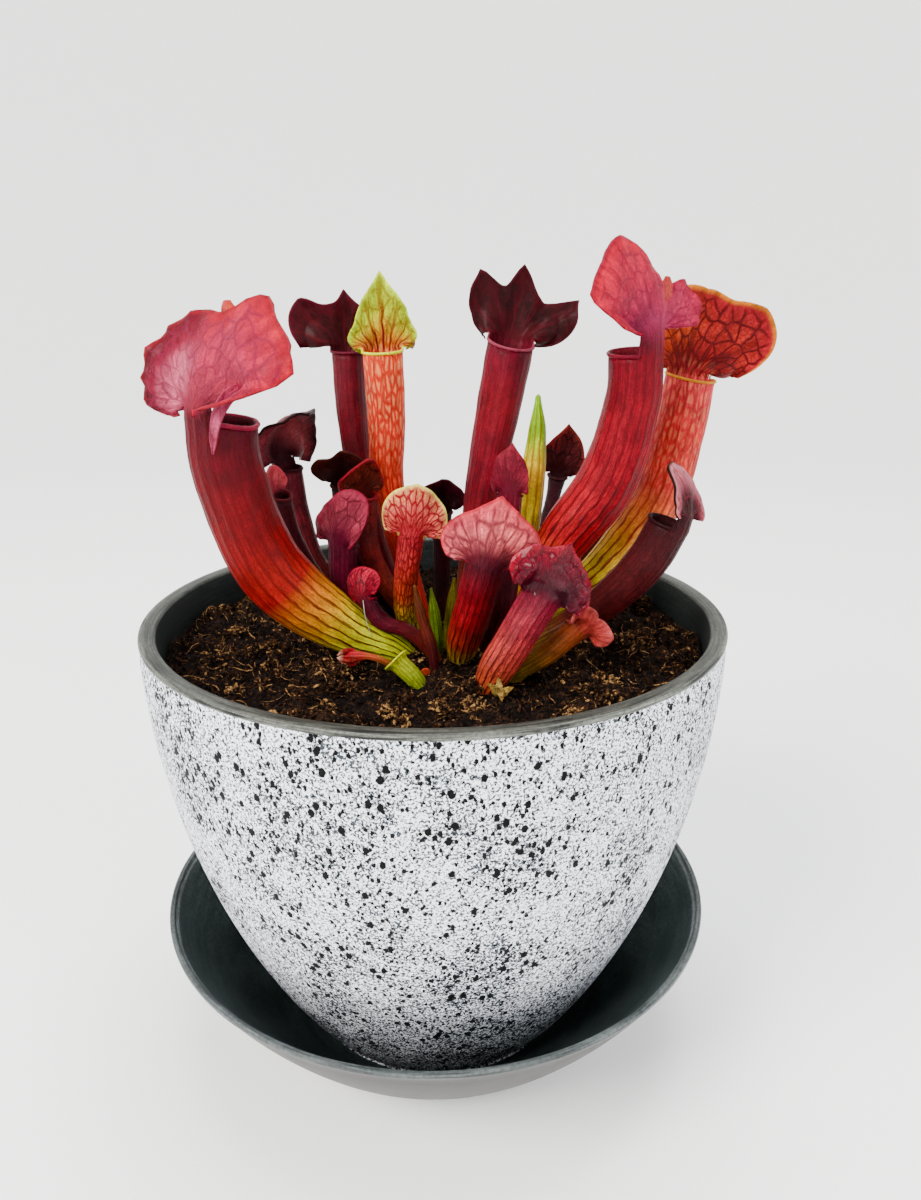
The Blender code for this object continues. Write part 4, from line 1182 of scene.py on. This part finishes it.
def pot_piece():
    """The pot: painted outside, bare on its lip and band, dark inside, deepened with painted shade.
    """
    floor = POT_Z + POT_FLOOR
    outside = bowl_wall(POT_CURVE, (RIM_R, RIM_Z), (POT_BASE_R, POT_Z))
    inside = bowl_wall(POT_CURVE, (RIM_INNER_R, RIM_Z), (POT_BASE_R - POT_WALL, floor))
    band = RIM_Z - RIM_BAND_H
    painted = RIM_R - RIM_BAND_STEP
    profile = [(0, floor)] + inside[:1:-1]
    profile += softened([inside[1], (RIM_INNER_R, RIM_Z), (RIM_R, RIM_Z), (RIM_R, band),
                         (painted, band - RIM_BAND_STEP), (painted, band - 3)], 1.0)
    profile += [point for point in outside if band - 4 > point[1] > POT_Z + 0.5]
    profile += softened([(POT_BASE_R + 1.5, POT_Z + 0.4), (POT_BASE_R, POT_Z),
                         (RECESS_R + RECESS_H, POT_Z), (RECESS_R, POT_Z + RECESS_H)], 0.5)
    profile += [(0, POT_Z + RECESS_H)]

    def zone(radius, height, outward):
        if height > band - RIM_BAND_STEP and radius > RIM_INNER_R - 0.4:
            return 1
        if outward and height < band and radius > DRAIN_RING_R + DRAIN_R + 1:
            return 0
        return 2

    paint = speckled_paint("sprayed stone-effect paint", "#f2f4fc", "#2c3238", "#030404", 10, 110)
    rim = bare_rim("bare moulded rim", "#0c0d0c", "#40423b", 0.5, RIM_R)
    # The inner wall: the dark bare body, darkened further to near black as painted shade
    wall = bare_rim("dark inner wall with painted shade", "#0e1211", "#1c2120", 0.55)
    shape = drilled(add_object("pot_blank", turned(profile), []))
    hand_over(finish_turned("pot_bowl", shape, (paint, rim, wall), zone), "pot", "pot_speckled")


def saucer_piece():
    """The saucer: dark outside, partly a dark satin finish, partly painted shade with a warm
    painted reflection, its lip bare, and nearly black inside.
    """
    floor = POT_Z - SEAT_GAP
    inner = SAUCER_R - SAUCER_LIP_W
    step = SAUCER_H - SAUCER_LIP_STEP
    outside = bowl_wall(SAUCER_CURVE, (SAUCER_R, SAUCER_H), (SAUCER_FOOT_R, 0))
    inside = bowl_wall(SAUCER_CURVE, (inner, SAUCER_H), (SAUCER_SEAT_R, floor))
    profile = [(0, floor)] + inside[:2:-1]
    profile += softened([inside[2], (inner - 0.5, step), (inner + 0.6, step + 0.3),
                         (inner + 0.8, SAUCER_H), (SAUCER_R, SAUCER_H), (SAUCER_R, step),
                         (SAUCER_R - 0.5, SAUCER_H - 2.2)], 0.5)
    profile += [point for point in outside if SAUCER_H - 3 > point[1] > 0.3]
    profile += [(SAUCER_FOOT_R + 0.4, 0), (SAUCER_FOOT_R, 0), (0, 0)]

    def zone(radius, height, outward):
        if height > SAUCER_H - 2.4 and radius > inner - 0.6:
            return 1
        return 0 if outward or height < 0.2 else 2

    # The outside: partly a dark satin finish, partly painted shade, with a warm tint as a painted
    # reflection
    outer = bare_rim("dark saucer outside with painted shade", "#1f1e1d", "#2f2c2a", 0.4)
    rim = bare_rim("bare moulded saucer lip", "#262b2b", "#565b5b", 0.35)
    wall = bare_rim("damp saucer inside", "#222a29", "#363f3e", 0.45)
    dish = finish_turned("saucer_dish", turned(profile), (outer, rim, wall), zone)
    hand_over(dish, "saucer", "saucer_speckled")


def peat_height(x, y):
    """The height of the peat's top at a place, with lumps of several sizes."""
    place = Vector((x, y, SOIL_Z))
    rough = noise.noise(place / LUMP_SIZE) + noise.noise(place / LUMP_SIZE * 2.7) / 2
    calm = ease((place - CROWN).xy.length / CROWN_R) * 0.8 + 0.2
    fine = noise.noise(place / 3.6) * 1.7 + noise.noise(place / 1.4) * 0.7
    clod = max(noise.noise(place / CLOD_SIZE), 0) * CLOD_H
    return SOIL_Z + LUMP_H * rough * calm + clod + fine


def peat_lit(height):
    """From 0 in the hollows to 1 on the clods: painted shade in the hollows and painted light on
    the clods.
    """
    return ease((height - SOIL_Z + 0.8) / 3.6)


def peat_body(material):
    """The peat as a solid that fills the pot, with its lumpy top."""
    wall = bowl_wall(POT_CURVE, (RIM_INNER_R, RIM_Z), (POT_BASE_R - POT_WALL, POT_Z + POT_FLOOR),
                     16)
    wall = [(radius - 0.5, height + 0.4) for radius, height in wall if height < SOIL_Z - 1]
    edge = RIM_INNER_R - 1.3
    top = [(edge * i / SOIL_RINGS, SOIL_Z) for i in range(SOIL_RINGS + 1)]
    shape = turned(top + wall + [(0, wall[-1][1])], SOIL_TURN_STEPS)
    tone_layer = shape.verts.layers.float.new("tone")
    for corner in shape.verts:
        place = corner.co / MM
        if place.z > SOIL_Z - 0.5:
            corner.co.z = peat_height(place.x, place.y) * MM
        # The peat's top is painted paler on the clods and darker in the hollows, as painted light
        # and shade
        corner[tone_layer] = 0.26 * peat_lit(corner.co.z / MM)
    hand_over(add_object("peat_body", shape, [material]), "soil", "peat")


def crumb_spots(draw):
    """Where the crumbs lie, with their radii and tones: strewn singly, and heaped in clumps."""
    edge = RIM_INNER_R - 2.0
    singles = []
    heaped = []
    for i in range(CRUMBS + CLUMPS):
        reach = edge * math.sqrt(draw.random())
        turn = draw.uniform(0, ROUND)
        radius = 0.35 + 0.8 * draw.random() ** 3
        single = i < CRUMBS
        reach = min(reach, edge - (radius if single else 4.5))
        middle = Vector((reach * math.cos(turn), reach * math.sin(turn), 0))
        if single:
            middle.z = peat_height(middle.x, middle.y) + radius * 0.3
            tone = draw.choice((0.0, 0.05, 0.1, 0.15, 0.2, 0.3, 0.45, 0.7))
            # Crumbs on the clods are painted paler, as painted light
            singles.append((middle, radius, tone * mix(0.5, 1.4, peat_lit(middle.z))))
            continue
        size = draw.uniform(2.0, CLUMP_R)
        tone = draw.choice((0.1, 0.2, 0.3, 0.45, 0.6))
        for _ in range(round(CLUMP_CRUMBS * (size / CLUMP_R) ** 2)):
            way = Vector([draw.gauss(0, 1) for _ in range(3)]).normalized() * size
            way *= draw.uniform(0.7, 1.0)
            spot = middle + way
            spot.z = peat_height(middle.x, middle.y) + abs(way.z) * 0.9
            heaped.append((spot, draw.uniform(0.35, 0.8), tone + draw.uniform(-0.25, 0.4)))
    return singles, heaped


def crumb_piece(name, spots, material, draw):
    """Many rough crumbs joined in one piece, a batch at a time."""
    whole = bmesh.new()
    whole.verts.layers.float.new("tone")
    for start in range(0, len(spots), BATCH):
        batch = bmesh.new()
        tone_layer = batch.verts.layers.float.new("tone")
        for spot, radius, tone in spots[start:start + BATCH]:
            spin = Euler([draw.uniform(0, ROUND) for _ in range(3)]).to_matrix().to_4x4()
            stretch = Matrix.Diagonal((draw.uniform(0.3, 0.7), draw.uniform(0.5, 1.0),
                                       draw.uniform(0.9, 1.8), 1))
            made = bmesh.ops.create_icosphere(
                batch, subdivisions=1, radius=radius * MM,
                matrix=Matrix.Translation(spot * MM) @ spin @ stretch)
            for corner in made["verts"]:
                corner.co += (corner.co - spot * MM) * draw.uniform(-0.3, 0.3)
                corner[tone_layer] = tone
        join_shape(whole, batch)
    piece = add_object(name, whole, [material])
    piece.data.shade_flat()
    hand_over(piece, None, "peat")


def fibre_mat(material, draw):
    """Rotted moss and root fibres: thin bent strands that lie on the crumbs."""
    whole = bmesh.new()
    whole.verts.layers.float.new("tone")
    edge = RIM_INNER_R - 3
    for _ in range(FIBRES):
        reach = edge * math.sqrt(draw.random())
        turn = draw.uniform(0, ROUND)
        x, y = reach * math.cos(turn), reach * math.sin(turn)
        heading = draw.uniform(0, ROUND)
        length = 2.0 + 7 * draw.random() ** 3
        points = []
        for _ in range(4):
            points.append((x, y, peat_height(x, y) + 0.5 + draw.uniform(0, 1.3)))
            heading += draw.uniform(-0.7, 0.7)
            x += math.cos(heading) * length / 3
            y += math.sin(heading) * length / 3
            far = math.hypot(x, y)
            if far > edge:
                x, y = x * edge / far, y * edge / far
        thick = draw.uniform(0.09, 0.2)
        radii = [thick * share for share in (1, 1.2, 1, 0.8, 0.5)]
        strand = rod(smooth_line(points, 2), radii, 3, "#000000 #000000", "#000000", (0, 0, 0, 0))
        tone_layer = strand.verts.layers.float.new("tone")
        tone = draw.choice((0.25, 0.35, 0.45, 0.55, 0.65, 0.9))
        for corner in strand.verts:
            corner[tone_layer] = tone
        join_shape(whole, strand)
    hand_over(add_object("peat_fibres", whole, [material]), None, "peat")


def studio():
    """A pale floor that curves up into a wall all round, soft lights and the sky's fill."""
    shape = turned(softened([(0, -0.3), (FLOOR_R, -0.3), (FLOOR_R, FLOOR_WALL_H)], FLOOR_BEND_R,
                            16), 96)
    for face in shape.faces:
        face.normal_flip()
    add_object("floor", shape, [pale_floor()])
    for name, place, size, power, colour in LAMPS:
        lamp = bpy.data.lights.new(name, "AREA")
        lamp.shape = "DISK"
        lamp.size = size * MM
        lamp.energy = power
        lamp.color = colour
        thing = bpy.data.objects.new(name, lamp)
        thing.location = Vector(place) * MM
        aim = LAMP_AIM * MM - thing.location
        thing.rotation_euler = aim.to_track_quat("-Z", "Y").to_euler()
        bpy.context.scene.collection.objects.link(thing)
    world = bpy.data.worlds.new("sky")
    world.use_nodes = True
    plug_in(world.node_tree.nodes["Background"], {"Color": linear(SKY), "Strength": SKY_POWER})
    bpy.context.scene.world = world


def add_camera():
    """The camera, where the photograph was taken from."""
    lens = bpy.data.cameras.new("camera")
    lens.sensor_width = SENSOR
    lens.lens = SENSOR * PHOTO_FOCUS / max(PHOTO_W, PHOTO_H)
    lens.clip_start = 0.01
    camera = bpy.data.objects.new("camera", lens)
    camera.location = Vector(CAMERA_AT) * MM
    camera.rotation_euler = (math.radians(90 - CAMERA_DOWN), 0, 0)
    bpy.context.scene.collection.objects.link(camera)
    bpy.context.scene.camera = camera


add_camera()
CUTICLES = {}
for kind, *finish in CUTICLE_KINDS:
    CUTICLES[kind] = leaf_cuticle(f"{kind} leaf cuticle", *finish)
    # Each kind has a copy for the leaves' inner side, with painted shade in the throat
    CUTICLES[kind + " inside"] = leaf_cuticle(f"{kind} leaf inside with painted shade", *finish, PAINTED_THROAT_SHADE)

slots = {entry["node"]: entry["material_slot"] for entry in frame["record"]["subparts"]}
seed = 1
for leaves, mesh in ((LARGE, LARGE_MESH), (SMALL, SMALL_MESH)):
    for name, leaf in leaves.items():
        pitcher(name, *leaf, mesh, slots[name], seed)
        seed += 1
for name, stalk in STALKS.items():
    stalk_piece(name, stalk, slots[name], seed)
    seed += 1
pot_piece()
saucer_piece()
for name, strip in STRIPS.items():
    strip_piece(name, strip, slots[strip.node], seed)
    seed += 1
thread = rod(smooth_line(THREAD_PATH), THREAD_RADII, 5, "#c8c0b4 #c8c0b4", "#a09888", (0, 0, 0, 0))
hand_over(add_object("thread", thread, [CUTICLES["satin"]]), None, slots["pitcher_front_curled"])

crumb = peat_crumb("moist peat crumbs", "#070403", "#331e10", "#8c683e")
peat_body(crumb)
dice = random.Random(SEED)
loose, heaped = crumb_spots(dice)
crumb_piece("peat_crumbs", loose, crumb, dice)
crumb_piece("peat_clumps", heaped, crumb, dice)
fibre_mat(crumb, dice)
studio()
